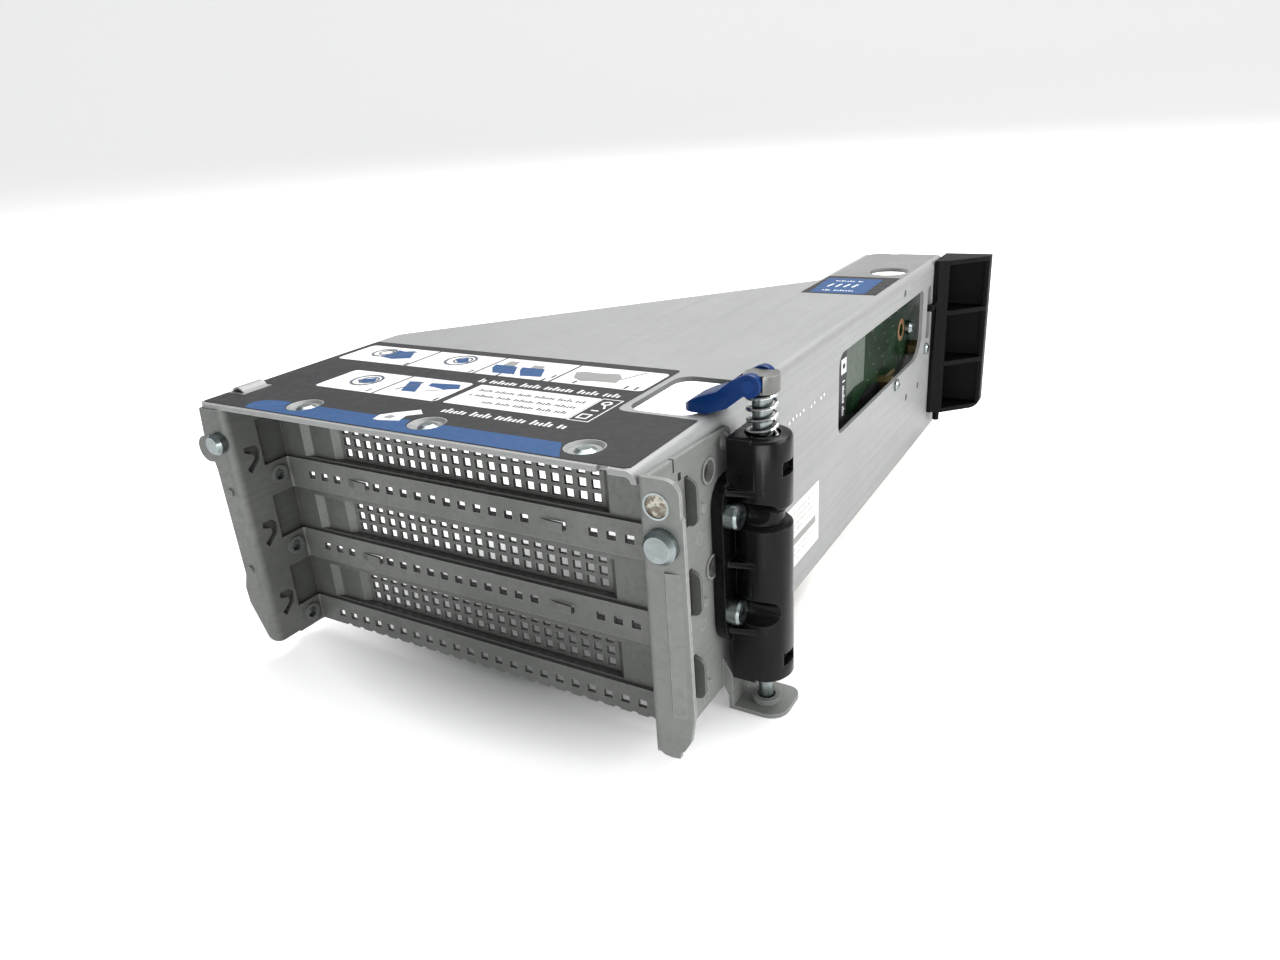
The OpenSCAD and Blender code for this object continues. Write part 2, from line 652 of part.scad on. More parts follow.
module front_rivets() {
    color("silver") to_frame() for (s = seats) {
        rod_z(s[0], s[1], rail_top - panel_t - 0.5, cage_h - 0.1, rivet_r);
        translate([s[0], s[1], cage_h - seat_depth]) cylinder(h = seat_depth - 0.1, r1 = 2.4, r2 = 1.4);
        translate([s[0], s[1], rail_top - panel_t - 0.6]) cylinder(h = 0.6, r = 2);
    }
}

module tab_rivets() {
    color("silver") to_frame() for (p = tab_rivet_at) {
        rod_x(p[0], p[1], panel_right - panel_t - 0.5, bracket_x, rivet_r);
        rod_x(p[0], p[1], panel_right - panel_t - 0.6, panel_right - panel_t, 2);
    }
}

// Clinched rivet, its rough end just below the flange's face
module flange_rivet() {
    color("tan") to_frame()
        rod_y(rivet_at[0], rivet_at[1], front_y + 0.35, front_y + panel_t + 0.6, flange_rivet_r);
}

// A clinched stud: round head in front of the flange, shank through it
module stud(x, z, r) {
    translate([x, front_y, z]) rotate([90, 0, 0]) {
        cylinder(h = stud_h * 0.6, r = r);
        translate([0, 0, stud_h * 0.6]) cylinder(h = stud_h * 0.4, r1 = r, r2 = r * 0.75);
        translate([0, 0, -panel_t - 0.4]) cylinder(h = panel_t + 0.4 + eps, r = thread_r);
    }
}

module left_stud() { color("gainsboro") to_frame() stud(stud_at[0], stud_at[1], left_stud_r); }
module right_stud() { color("gainsboro") to_frame() stud(rstud_at[0], rstud_at[1], right_stud_r); }

// ---------- riser board ----------

board_x = wall_in - board_gap;              // outer face of the board, towards the side wall
board_in = board_x - board_t;
board_back = cage_l - board_short;
ring_at = [cage_l - 33, cage_h - 20.4];
ring_r = 2.2;
standoffs = [[board_y0 + 8, cage_h - 10], [board_y0 + 8, 14],
    [cage_l - 57, window_z[0] - 1.9], [cage_l - 20, cage_h - 30]];
rear_screws = [standoffs[2], standoffs[3]];  // the ones whose screws come from outside
post_at = [cage_l - 26, cage_h - 21.2];

module riser_board() {
    color("darkgreen") to_frame() difference() {
        along_x(board_in, board_x) polygon(rounded([
            [board_y0, 7, 1], [board_y0 + 20, 7, 0], [board_y0 + 20, 0, 0.8],
            [board_y0 + 76, 0, 0.8], [board_y0 + 76, 3.6, 0.5], [board_y0 + 79, 3.6, 0.5],
            [board_y0 + 79, 0, 0.8], [board_back - 18, 0, 0.8], [board_back - 18, 7, 0],
            [board_back, 7, 1], [board_back, top_under - 3, 2], [board_y0, top_under - 3, 2]]));
        rod_x(ring_at[0], ring_at[1], board_in - 1, board_x + 1, ring_r);
        for (p = concat(standoffs, [post_at])) rod_x(p[0], p[1], board_in - 1, board_x + 1, thread_r + seat);
    }
}

socket_y = 58;
module card_socket(k) {
    x0 = board_in - seat - socket_out;
    z = slot_z(k) - 1.6;
    difference() {
        span([x0, socket_y, z - socket_w / 2], [board_in - seat, socket_y + socket_l, z + socket_w / 2]);
        // Card slot in two lengths, with a key between them
        span([x0 - 1, socket_y + 2, z - 0.9], [x0 + 8.3, socket_y + 13.2, z + 0.9]);
        span([x0 - 1, socket_y + 14.8, z - 0.9], [x0 + 8.3, socket_y + socket_l - 2, z + 0.9]);
        // Chamfered mouth
        along_y(socket_y + 2, socket_y + socket_l - 2)
            polygon([[x0 - 1, z + 2.6], [x0 + 0.8, z + 0.8], [x0 + 0.8, z - 0.8], [x0 - 1, z - 2.6]]);
    }
    // Moulded end posts
    for (y = [socket_y - 3, socket_y + socket_l])
        span([board_in - seat - 5, y, z - socket_w / 2 + 0.8], [board_in - seat, y + 3, z + socket_w / 2 - 0.8]);
}

module card_socket_top() { color("dimgray") to_frame() card_socket(0); }
module card_socket_middle() { color("dimgray") to_frame() card_socket(1); }
module card_socket_bottom() { color("dimgray") to_frame() card_socket(2); }

module board_standoffs() {
    color("goldenrod") to_frame() for (p = standoffs) difference() {
        translate([board_x + seat, p[0], p[1]]) rotate([0, 90, 0])
            cylinder(h = board_gap - 2 * seat, r = 2.9, $fn = 6);
        rod_x(p[0], p[1], board_x, wall_in, thread_r + seat);
    }
}

module board_screws() {
    color("gainsboro") to_frame() {
        // Front pair, put in from the board's inner side
        for (p = [standoffs[0], standoffs[1]]) {
            translate([board_in - seat, p[0], p[1]]) rotate([0, -90, 0]) pan_head(2.7, 1.7);
            rod_x(p[0], p[1], board_in - seat - eps, wall_in - 0.6, thread_r);
        }
        // Rear pair, put in from outside the side wall
        for (p = rear_screws) {
            translate([cage_w + seat, p[0], p[1]]) rotate([0, 90, 0]) pan_head(2, 1.1);
            rod_x(p[0], p[1], board_in - 1, cage_w + seat + eps, thread_r);
        }
        // Post screw beside the plated hole
        translate([board_x + seat, post_at[0], post_at[1]]) rotate([0, 90, 0]) pan_head(2.5, 2.4);
        rod_x(post_at[0], post_at[1], board_in - 1, board_x + seat + eps, thread_r);
    }
}

// ---------- end baffle ----------

baffle_back = cage_l + 4;
baffle_y = baffle_back - baffle_l;
baffle_x0 = cage_w + 0.1;
baffle_x1 = cage_w + baffle_out;
baffle_edge = [baffle_x0 + 4.8, baffle_y + 1.5];
baffle_side_y = baffle_back - 4;

module baffle_plan() {
    polygon([[baffle_x0, baffle_y], baffle_edge, [baffle_x1, baffle_side_y],
        [baffle_x1, baffle_back], [baffle_x0, baffle_back]]);
}

module end_baffle() {
    shelf = (cage_h - baffle_z) / 3;
    color([0.12, 0.12, 0.13]) to_frame() difference() {
        union() {
            // Floor, two shelves and roof
            for (i = [0:3]) {
                z = i == 3 ? cage_h - baffle_t : baffle_z + i * shelf - (i > 0 ? baffle_t / 2 : 0);
                along_z(z, z + baffle_t) baffle_plan();
            }
            // Back, inner side, front strip and outer side
            span([baffle_x0, baffle_back - baffle_t, baffle_z], [baffle_x1, baffle_back, cage_h]);
            span([baffle_x0, baffle_y, baffle_z], [baffle_x0 + baffle_t, baffle_back, cage_h]);
            along_z(baffle_z, cage_h) polygon([[baffle_x0, baffle_y], baffle_edge,
                baffle_edge + [0, baffle_t], [baffle_x0, baffle_y + baffle_t]]);
            span([baffle_x1 - baffle_t, baffle_side_y, baffle_z], [baffle_x1, baffle_back, cage_h]);
            // Locating peg under the floor
            rod_z(baffle_x0 + 2.4, baffle_y + 5, baffle_z - 4, baffle_z + eps, 1.2);
            // Snap arm that reaches through the wall's opening
            span([baffle_x0, snap_y[0] + 1.4, cage_h - 16.9], [baffle_x0 + 1.4, baffle_y + eps, cage_h - 14.9]);
            span([wall_in - 1.4, snap_y[0] + 1.4, cage_h - 16.9], [baffle_x0 + eps, snap_y[0] + 3.4, cage_h - 14.9]);
        }
        // Rounded outer corner at the bottom
        translate([baffle_x1 - 3, 0, baffle_z + 3]) rotate([-90, 0, 0]) difference() {
            translate([0, 0, baffle_y]) cube([3 + 1, 3 + 1, baffle_back]);
            translate([0, 0, baffle_y - 1]) cylinder(h = baffle_back + 2, r = 3);
        }
    }
}

// ---------- latch: housing, captive screw, spring, cap and lever ----------

barrel_top = cage_h - 3.5;
barrel_foot = 8.7;
plate_x = bracket_x + 2.7;                  // outer face of the housing's mounting plate
plate_y = latch_y - 9.6;
plate_z = [18, cage_h - 12.5];
groove_z = [cage_h - 22.8, cage_h - 19.8];
neck_r = 4.5;
pocket_r = 3.2;
tip_r = shank_r - 0.35;
foot_gap = 0.4;
spring_seat = barrel_top - 6;
spring_well_r = spring_r + wire_r + 0.35;
collar_r = 2.7;
collar_h = 1.4;
shoulder_z = cage_h - 25;                   // stops the collar when the screw is fully lifted
collar_z = shoulder_z - lift - collar_h - 0.2;
housing_screw_at = [[latch_y - 6.6, cage_h - 20.2], [latch_y - 6.6, cage_h - 43]];
housing_head_r = 3;
housing_head_h = 2.8;
ribs = [cage_h - 15, cage_h - 31.5, cage_h - 47.7];

module barrel_solid() {
    translate([latch_x, latch_y, 0]) rotate_extrude() polygon([
        [0, barrel_foot], [barrel_r - 0.8, barrel_foot], [barrel_r, barrel_foot + 0.8],
        [barrel_r, groove_z[0] - 0.8], [barrel_r - 0.8, groove_z[0]], [neck_r, groove_z[0]],
        [neck_r, groove_z[1]], [barrel_r - 0.9, groove_z[1]], [barrel_r, groove_z[1] + 1.2],
        [barrel_r, barrel_top - 0.9], [barrel_r - 0.3, barrel_top - 0.3],
        [barrel_r - 0.9, barrel_top], [0, barrel_top]]);
}

module latch_housing() {
    base_x = bracket_x + seat;
    color([0.1, 0.1, 0.11]) to_frame() difference() {
        union() {
            barrel_solid();
            // Square backs of the barrel above and below the pockets
            for (z = [[ribs[0], barrel_top], [barrel_foot, ribs[2]]])
                span([latch_x - barrel_r + 0.8, latch_y - barrel_r, z[0]], [latch_x, latch_y + barrel_r, z[1]]);
            span([plate_x - 1, latch_y - 2.2, barrel_foot + 1], [latch_x, latch_y + barrel_r, barrel_top - 1]);
            // Mounting plate with round corners on its free side
            along_x(base_x, plate_x) polygon(rounded([
                [plate_y, plate_z[0], 6], [latch_y + barrel_r, plate_z[0], 0],
                [latch_y + barrel_r, plate_z[1], 0], [plate_y, plate_z[1], 6]]));
            // Gusset ribs between plate and barrel
            for (z = ribs) along_z(z - 0.6, z + 0.6) polygon([
                [plate_x - eps, plate_y + 2], [latch_x + 2.6, latch_y - barrel_r + 0.5],
                [latch_x, latch_y], [plate_x - eps, latch_y]]);
        }
        // Bore for the screw, well for the spring, cavity for the collar
        rod_z(latch_x, latch_y, barrel_foot - 1, barrel_top + 1, shank_r + shank_gap);
        rod_z(latch_x, latch_y, spring_seat, barrel_top + 1, spring_well_r);
        rod_z(latch_x, latch_y, barrel_foot - 1, shoulder_z, collar_r + 0.25);
        // Pockets that give the housing screws room
        for (p = housing_screw_at) {
            rod_x(p[0], p[1], base_x - 1, plate_x + 1, thread_r + seat);
            rod_x(p[0], p[1], plate_x, latch_x + barrel_r + 1, pocket_r);
        }
        // Room for the foot's leg behind the barrel, and for the collar of the lower side hole
        span([cage_w, latch_y - barrel_r - 1, 0], [foot_leg_x + seat, latch_y + barrel_r + 1, leg_top]);
        rod_x(side_holes[1][0], side_holes[1][1], base_x - 1, bracket_x + 0.6, side_hole_r + 0.6);
        // Two windows in the barrel's outer side
        for (z = [cage_h - 11.7, 12.6])
            span([latch_x + barrel_r - 2, latch_y - 2.9, z], [latch_x + barrel_r + 1, latch_y + 2.9, z + 3.1]);
    }
}

module housing_screws() {
    color("gainsboro") to_frame() for (p = housing_screw_at)
        translate([plate_x + seat, p[0], p[1]]) rotate([0, 90, 0]) difference() {
            union() {
                cylinder(h = housing_head_h * 0.8, r = housing_head_r);
                translate([0, 0, housing_head_h * 0.8])
                    cylinder(h = housing_head_h * 0.2, r1 = housing_head_r, r2 = housing_head_r * 0.86);
                translate([0, 0, -6.5]) cylinder(h = 6.5 + eps, r = thread_r);
            }
            // Six-lobed recess
            translate([0, 0, housing_head_h - 1.2]) {
                cylinder(h = 2, r = 1.15);
                for (a = [0:60:300]) rotate(a) translate([1.2, 0, 0]) cylinder(h = 2, r = 0.38, $fn = 24);
            }
        }
}

cap_z = cage_h + 5.3;
pin_z = cap_z + cap_h / 2;
lever_eye = 2.4;                            // outer radius of the lever's eye
arm_room = lever_eye + 0.2 - pin_back;      // how far the cap's flats run past the screw's axis

module captive_screw() {
    color("silver") to_frame() difference() {
        translate([latch_x, latch_y, 0]) rotate_extrude() polygon([
            [0, 0.6], [tip_r - 0.8, 0.6], [tip_r, 1.6], [tip_r, 12], [shank_r, 13],
            [shank_r, collar_z - seat], [shank_r - 0.3, collar_z - seat],
            [shank_r - 0.3, collar_z + collar_h + seat], [shank_r, collar_z + collar_h + seat],
            [shank_r, cap_z + cap_h - 0.6], [0, cap_z + cap_h - 0.6]]);
        rod_y(pin_x, pin_z, latch_y - 5, latch_y + 5, pin_r + seat);
    }
}

module screw_collar() {
    color("dimgray") to_frame() translate([latch_x, latch_y, collar_z]) difference() {
        cylinder(h = collar_h, r = collar_r);
        translate([0, 0, -1]) cylinder(h = collar_h + 2, r = shank_r - 0.3 + seat);
    }
}

// One turn of wire after another: rings of points joined into a tube
spring_z = [spring_seat + wire_r + 0.05, cap_z - wire_r - 0.1];
spring_steps = 20;
spring_sides = 8;
function coil_ring(i) = let (
        a = 360 * i / spring_steps,
        rise = (spring_z[1] - spring_z[0]) / (spring_turns * spring_steps),
        z = spring_z[0] + rise * i)
    [for (s = [0:spring_sides - 1]) let (b = 360 * s / spring_sides)
        [(spring_r + wire_r * cos(b)) * cos(a), (spring_r + wire_r * cos(b)) * sin(a), z + wire_r * sin(b)]];

module latch_spring() {
    rings = spring_turns * spring_steps;
    points = [for (i = [0:rings]) each coil_ring(i)];
    sides = [for (i = [0:rings - 1], s = [0:spring_sides - 1])
        let (t = (s + 1) % spring_sides, a = i * spring_sides, b = a + spring_sides)
        [a + s, a + t, b + t, b + s]];
    ends = [[for (s = [spring_sides - 1:-1:0]) s],
        [for (s = [0:spring_sides - 1]) rings * spring_sides + s]];
    color("lightgray") to_frame() translate([latch_x, latch_y, 0])
        polyhedron(points, concat(sides, ends));
}

module screw_cap() {
    color("gray") to_frame() difference() {
        rod_z(latch_x, latch_y, cap_z, cap_z + cap_h, cap_r);
        // Flats for the lever's arms
        for (y = [latch_y - cap_w / 2 - cap_r, latch_y + cap_w / 2])
            span([latch_x - cap_r - 1, y, cap_z - 1], [latch_x + arm_room, y + cap_r, cap_z + cap_h + 1]);
        rod_z(latch_x, latch_y, cap_z - 1, cap_z + cap_h - 0.6 + seat, shank_r + seat);
        rod_y(pin_x, pin_z, latch_y - 5, latch_y + 5, pin_r + seat);
    }
}

module lever_pin() {
    color("silver") to_frame()
        rod_y(pin_x, pin_z, latch_y - lever_w / 2 + 0.3, latch_y + lever_w / 2 - 0.3, pin_r);
}

// Side view of the lever, sloping down from the eye to a thin tip just above the top plate
lever_low = cage_h + 0.35;
lever_tip = latch_x - lever_l;
module lever_side() {
    polygon([[lever_tip + 0.7, lever_low], [lever_tip, lever_low + 0.5], [lever_tip + 0.2, lever_low + 1.1],
        [lever_tip + 1.8, lever_low + 2.3], [lever_tip + 4.6, lever_low + 3.6],
        [lever_tip + 8.4, lever_low + 4.9], [pin_x - 4, pin_z + 0.7],
        [pin_x - 1.3, pin_z + lever_eye - 0.3], [pin_x, pin_z], [pin_x - 1.2, pin_z - lever_eye + 0.3],
        [pin_x - 5, lever_low + 1.6], [pin_x - 9.7, lever_low]]);
}

// Plan view of the lever: arms beside the cap, round tip
module lever_plan() {
    difference() {
        polygon(rounded([[pin_x + lever_eye + 1, latch_y - lever_w / 2, 0],
            [pin_x + lever_eye + 1, latch_y + lever_w / 2, 0],
            [lever_tip, latch_y + lever_w / 2 - 0.6, 3], [lever_tip, latch_y - lever_w / 2 + 0.6, 3]]));
        translate([latch_x - cap_r - 1, latch_y - cap_w / 2 - 0.12])
            square([cap_r + lever_eye + 3, cap_w + 0.24]);
    }
}

module lever() {
    color("royalblue") to_frame() difference() {
        intersection() {
            union() {
                along_y(latch_y - lever_w / 2, latch_y + lever_w / 2) lever_side();
                rod_y(pin_x, pin_z, latch_y - lever_w / 2, latch_y + lever_w / 2, lever_eye);
            }
            along_z(cage_h - 3, cap_z + cap_h + 3) lever_plan();
        }
        rod_y(pin_x, pin_z, latch_y - lever_w, latch_y + lever_w, pin_r + pin_gap);
    }
}

// ---------- labels ----------

label_t = 0.1;
label_z = cage_h + 0.02;
rear_film = [cage_l - 73, cage_l - 46];     // Y limits of the rear film
side_film = [latch_y + 9.2, latch_y + 57.2];  // Y limits of the side film
side_film_z = [cage_h - 55.9, cage_h - 38.2];

module front_label() {
    color([0.2, 0.2, 0.21]) to_frame() difference() {
        along_z(label_z, label_z + label_t) polygon(rounded([
            [-top_overhang + 0.5, -nose_l + 0.8, 1], [finger_x1 - 1.5, -nose_l + 0.8, 1],
            [finger_x1 - 1.5, finger_y - 1.6, 1.5], [finger_x0 - 1.6, finger_y - 1.6, 3],
            [finger_x0 - 1.6, 44, 1], [-top_overhang + 0.5, 44, 1]]));
        for (s = seats) rod_z(s[0], s[1], cage_h - 1, cage_h + 1, seat_r + 0.3);
        span([-top_overhang, -7, cage_h - 1], [-top_overhang + 6.4, 2, cage_h + 1]);
    }
}

module rear_label() {
    color([0.2, 0.2, 0.21]) to_frame() along_z(label_z, label_z + label_t) polygon([
        [strip_x + 1, rear_film[0]], [cage_w - 3, rear_film[0]],
        [cage_w - 3, rear_film[1]], [strip_x + 1, rear_film[1]]]);
}

module side_label() {
    color("white") to_frame() along_x(cage_w + 0.02, cage_w + 0.02 + label_t) polygon([
        [side_film[0], side_film_z[0]], [side_film[1], side_film_z[0]],
        [side_film[1], side_film_z[1]], [side_film[0], side_film_z[1]]]);
}

// ---------- drawing ----------

main_frame();
io_panel();
latch_bracket();
slot_cover_top();
slot_cover_middle();
slot_cover_bottom();
cover_screws();
front_rivets();
tab_rivets();
flange_rivet();
left_stud();
right_stud();
riser_board();
card_socket_top();
card_socket_middle();
card_socket_bottom();
board_standoffs();
board_screws();
end_baffle();
latch_housing();
housing_screws();
captive_screw();
screw_collar();
latch_spring();
screw_cap();
lever_pin();
lever();
front_label();
rear_label();
side_label();
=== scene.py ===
"""Riser cage bracket: finishes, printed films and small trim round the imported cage."""

import json
import math

import bmesh
import bpy
from mathutils import Euler, Matrix, Vector


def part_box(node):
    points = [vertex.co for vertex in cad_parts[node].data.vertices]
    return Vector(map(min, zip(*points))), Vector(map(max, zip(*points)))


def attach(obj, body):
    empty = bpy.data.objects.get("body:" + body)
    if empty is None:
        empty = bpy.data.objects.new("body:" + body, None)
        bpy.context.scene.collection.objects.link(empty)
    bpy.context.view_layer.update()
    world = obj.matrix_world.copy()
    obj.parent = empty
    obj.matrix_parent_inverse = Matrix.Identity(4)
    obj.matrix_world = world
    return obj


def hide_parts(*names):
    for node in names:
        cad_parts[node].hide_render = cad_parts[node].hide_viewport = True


bl_info = {
    "name": "Riser Cage Bracket",
    "version": (1, 0, 0),
    "blender": (4, 5, 0),
    "location": "View3D > Sidebar > Riser Cage",
    "description": "Dresses a sheet-steel riser cage with its finishes, films and trim",
    "category": "Object",
}

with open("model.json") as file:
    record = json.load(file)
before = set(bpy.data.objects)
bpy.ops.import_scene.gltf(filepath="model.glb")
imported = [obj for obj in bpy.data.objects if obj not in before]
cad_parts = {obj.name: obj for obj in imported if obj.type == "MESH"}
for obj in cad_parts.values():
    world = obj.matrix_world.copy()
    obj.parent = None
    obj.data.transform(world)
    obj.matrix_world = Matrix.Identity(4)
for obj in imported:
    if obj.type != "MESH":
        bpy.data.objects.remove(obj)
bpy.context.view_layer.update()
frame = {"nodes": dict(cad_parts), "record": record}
MM = 0.001
MICRON = 0.000001


# ---------- shader helpers ----------
# Texture scales count marks in a metre; bump depths, edge radii and reaches are in metres.


def new_material(name, colour, roughness, metallic=0.0):
    """A material with its Principled shader's plain sockets set."""
    material = bpy.data.materials.new(name)
    material.use_nodes = True
    material.diffuse_color = (*colour, 1.0)
    shader = material.node_tree.nodes["Principled BSDF"]
    shader.inputs["Base Color"].default_value = (*colour, 1.0)
    shader.inputs["Roughness"].default_value = roughness
    shader.inputs["Metallic"].default_value = metallic
    return material, material.node_tree, shader


def shade(colour, factor, add=0.0):
    """The colour times factor, plus add, held at full white."""
    return tuple(min(1.0, factor * c + add) for c in colour)


def object_place(tree, stretch=(1.0, 1.0, 1.0)):
    """Object coordinates through a Mapping node, one unit for each metre times stretch."""
    place = tree.nodes.new("ShaderNodeTexCoord")
    mapping = tree.nodes.new("ShaderNodeMapping")
    mapping.inputs["Scale"].default_value = stretch
    tree.links.new(place.outputs["Object"], mapping.inputs["Vector"])
    return mapping.outputs["Vector"]


def noise(tree, scale, detail, stretch=(1.0, 1.0, 1.0)):
    """Soft clouds of grey, with more fine marks as detail grows."""
    texture = tree.nodes.new("ShaderNodeTexNoise")
    texture.inputs["Scale"].default_value = scale
    texture.inputs["Detail"].default_value = detail
    tree.links.new(object_place(tree, stretch), texture.inputs["Vector"])
    return texture.outputs["Fac"]


def cells(tree, scale):
    """A different grey for each crystal of a Voronoi pattern."""
    texture = tree.nodes.new("ShaderNodeTexVoronoi")
    texture.inputs["Scale"].default_value = scale
    tree.links.new(object_place(tree), texture.inputs["Vector"])
    grey = tree.nodes.new("ShaderNodeRGBToBW")
    tree.links.new(texture.outputs["Color"], grey.inputs["Color"])
    return grey.outputs["Val"]


def between(tree, value, low, high, start=0.0, end=1.0):
    """A socket's value, taken from start..end to low..high and held within them."""
    spread = tree.nodes.new("ShaderNodeMapRange")
    spread.inputs["From Min"].default_value = start
    spread.inputs["From Max"].default_value = end
    spread.inputs["To Min"].default_value = low
    spread.inputs["To Max"].default_value = high
    tree.links.new(value, spread.inputs["Value"])
    return spread.outputs["Result"]


# A Mix node's sockets for colours.
MIX_FIRST, MIX_SECOND, MIX_RESULT = 6, 7, 2


def blend(tree, factor, first, second):
    """A colour between first and second by a factor socket; each is a colour or a socket."""
    mix = tree.nodes.new("ShaderNodeMix")
    mix.data_type = "RGBA"
    tree.links.new(factor, mix.inputs["Factor"])
    for place, value in ((MIX_FIRST, first), (MIX_SECOND, second)):
        socket = mix.inputs[place]
        if isinstance(value, tuple):
            socket.default_value = (*value, 1.0)
        else:
            tree.links.new(value, socket)
    return mix.outputs[MIX_RESULT]


def bump(tree, shader, heights):
    """Joins pairs of a height socket and its depth into the shader's normal."""
    normal = None
    for height, depth in heights:
        node = tree.nodes.new("ShaderNodeBump")
        node.inputs["Strength"].default_value = 1.0
        node.inputs["Distance"].default_value = depth
        tree.links.new(height, node.inputs["Height"])
        if normal is not None:
            tree.links.new(normal, node.inputs["Normal"])
        normal = node.outputs["Normal"]
    tree.links.new(normal, shader.inputs["Normal"])


def edge_highlight_and_wear(tree, radius):
    """1 on edges and 0 on flat faces, by how far a rounded normal leans from the plain one; the
    finishes lighten edges with it, as wear and as a painted highlight.
    """
    bevel = tree.nodes.new("ShaderNodeBevel")
    bevel.samples = 4
    bevel.inputs["Radius"].default_value = radius
    plain = tree.nodes.new("ShaderNodeNewGeometry")
    dot = tree.nodes.new("ShaderNodeVectorMath")
    dot.operation = "DOT_PRODUCT"
    tree.links.new(bevel.outputs["Normal"], dot.inputs[0])
    tree.links.new(plain.outputs["Normal"], dot.inputs[1])
    return between(tree, dot.outputs["Value"], 1.0, 0.0, 0.75, 0.98)


def corner_shade(tree, reach):
    """0 in deep corners and 1 on open faces, from what closes the surface in; the finishes paint
    shade into corners with it.
    """
    shade = tree.nodes.new("ShaderNodeAmbientOcclusion")
    shade.samples = 4
    shade.inputs["Distance"].default_value = reach
    return between(tree, shade.outputs["AO"], 0.0, 1.0, 0.15, 0.85)


# ---------- finishes ----------


def sheet_steel(name, pale, dark, roughness, metallic, painted_shade=0.55, streak=0.82):
    """Zinc-plated sheet: faint crystals, rolling grain, edges lightened as wear and as a painted
    highlight, and painted shade in the corners.
    """
    material, tree, shader = new_material(name, pale, roughness, metallic)
    crystals = cells(tree, 420.0)
    grain = noise(tree, 700.0, 4.0, (1.0, 0.03, 1.0))
    clouds = noise(tree, 34.0, 4.0)
    body = blend(tree, between(tree, clouds, 0.0, 0.8, 0.35, 0.68), pale, dark)
    speckled = blend(tree, between(tree, crystals, 0.0, 0.3), body, shade(dark, 0.88))
    streaked = blend(tree, between(tree, grain, 0.0, 0.4, 0.5, 0.75), speckled, shade(dark, streak))
    # painted shade: corners and creases darkened by how closed in they are
    corner_shaded = blend(tree, corner_shade(tree, 5 * MM), shade(dark, painted_shade), streaked)
    # edges lightened: partly wear and partly a painted highlight
    worn_and_highlit = blend(tree, edge_highlight_and_wear(tree, 0.3 * MM), corner_shaded, shade(pale, 1.6))
    tree.links.new(worn_and_highlit, shader.inputs["Base Color"])
    tree.links.new(between(tree, grain, roughness - 0.06, roughness + 0.10, 0.3, 0.7),
                   shader.inputs["Roughness"])
    bump(tree, shader, [(grain, 8 * MICRON), (clouds, 50 * MICRON)])
    return material


def bright_zinc(name, colour, roughness):
    """Bright-plated fasteners, smooth, with duller patches, painted shade in the corners and a
    painted highlight on the edges.
    """
    material, tree, shader = new_material(name, colour, roughness, 1.0)
    clouds = noise(tree, 300.0, 2.0)
    patched = blend(tree, between(tree, clouds, 0.0, 0.7, 0.4, 0.65), colour, shade(colour, 0.8))
    # painted shade: corners darkened to 0.3 of the colour
    corner_shaded = blend(tree, corner_shade(tree, 2 * MM), shade(colour, 0.3), patched)
    # painted highlight: edges lightened to 1.6 times the colour
    edge_highlit = blend(tree, edge_highlight_and_wear(tree, 0.5 * MM), corner_shaded, shade(colour, 1.6))
    tree.links.new(edge_highlit, shader.inputs["Base Color"])
    tree.links.new(between(tree, clouds, roughness - 0.04, roughness + 0.08, 0.3, 0.7),
                   shader.inputs["Roughness"])
    bump(tree, shader, [(clouds, 4 * MICRON)])
    return material


def rough_end(name, pale, stain):
    """The sheared end of a rivet: bright metal mottled with stains."""
    material, tree, shader = new_material(name, pale, 0.5, 0.6)
    mottle = between(tree, noise(tree, 750.0, 4.0), 0.0, 1.0, 0.44, 0.56)
    tree.links.new(blend(tree, mottle, pale, stain), shader.inputs["Base Color"])
    tree.links.new(between(tree, mottle, 0.35, 0.6), shader.inputs["Roughness"])
    bump(tree, shader, [(mottle, 120 * MICRON)])
    return material


def moulded_plastic(name, colour, roughness, grain=4 * MICRON, shine=0.2, highlight_lift=0.010):
    """Moulded plastic with a fine texture and paler edges, partly wear and partly a painted
    highlight.
    """
    material, tree, shader = new_material(name, colour, roughness)
    shader.inputs["Specular IOR Level"].default_value = shine
    clouds = noise(tree, 120.0, 3.0)
    base = blend(tree, between(tree, clouds, 0.0, 1.0, 0.4, 0.62), colour,
                 shade(colour, 1.2, 0.001))
    # edges lightened: partly wear and partly a painted highlight, strongest on the housing
    edge_highlit = blend(tree, edge_highlight_and_wear(tree, 0.4 * MM), base, shade(colour, 1.7, highlight_lift))
    tree.links.new(edge_highlit, shader.inputs["Base Color"])
    tree.links.new(between(tree, clouds, roughness - 0.05, roughness + 0.08, 0.3, 0.7),
                   shader.inputs["Roughness"])
    bump(tree, shader, [(noise(tree, 2600.0, 2.0), grain)])
    return material


def circuit_board(name):
    """Green solder mask over copper tracks, with paler poured areas."""
    mask = (0.004, 0.012, 0.005)
    over_track = (0.006, 0.020, 0.008)
    over_pour = (0.010, 0.028, 0.012)
    material, tree, shader = new_material(name, mask, 0.38)
    shader.inputs["Specular IOR Level"].default_value = 0.04
    tracks = tree.nodes.new("ShaderNodeTexWave")
    tracks.wave_type = "BANDS"
    tracks.bands_direction = "Z"
    tracks.inputs["Scale"].default_value = 210.0
    tracks.inputs["Distortion"].default_value = 5.0
    tracks.inputs["Detail"].default_value = 1.0
    tracks.inputs["Detail Scale"].default_value = 0.4
    tree.links.new(object_place(tree, (1.0, 0.8, 1.0)), tracks.inputs["Vector"])
    rows = between(tree, tracks.outputs["Fac"], 0.0, 1.0, 0.62, 0.72)
    poured = between(tree, noise(tree, 65.0, 1.0), 0.0, 1.0, 0.54, 0.57)
    base = blend(tree, poured, blend(tree, rows, mask, over_track), over_pour)
    tree.links.new(base, shader.inputs["Base Color"])
    tree.links.new(between(tree, poured, 0.34, 0.46), shader.inputs["Roughness"])
    bump(tree, shader, [(rows, 30 * MICRON), (poured, 30 * MICRON)])
    return material


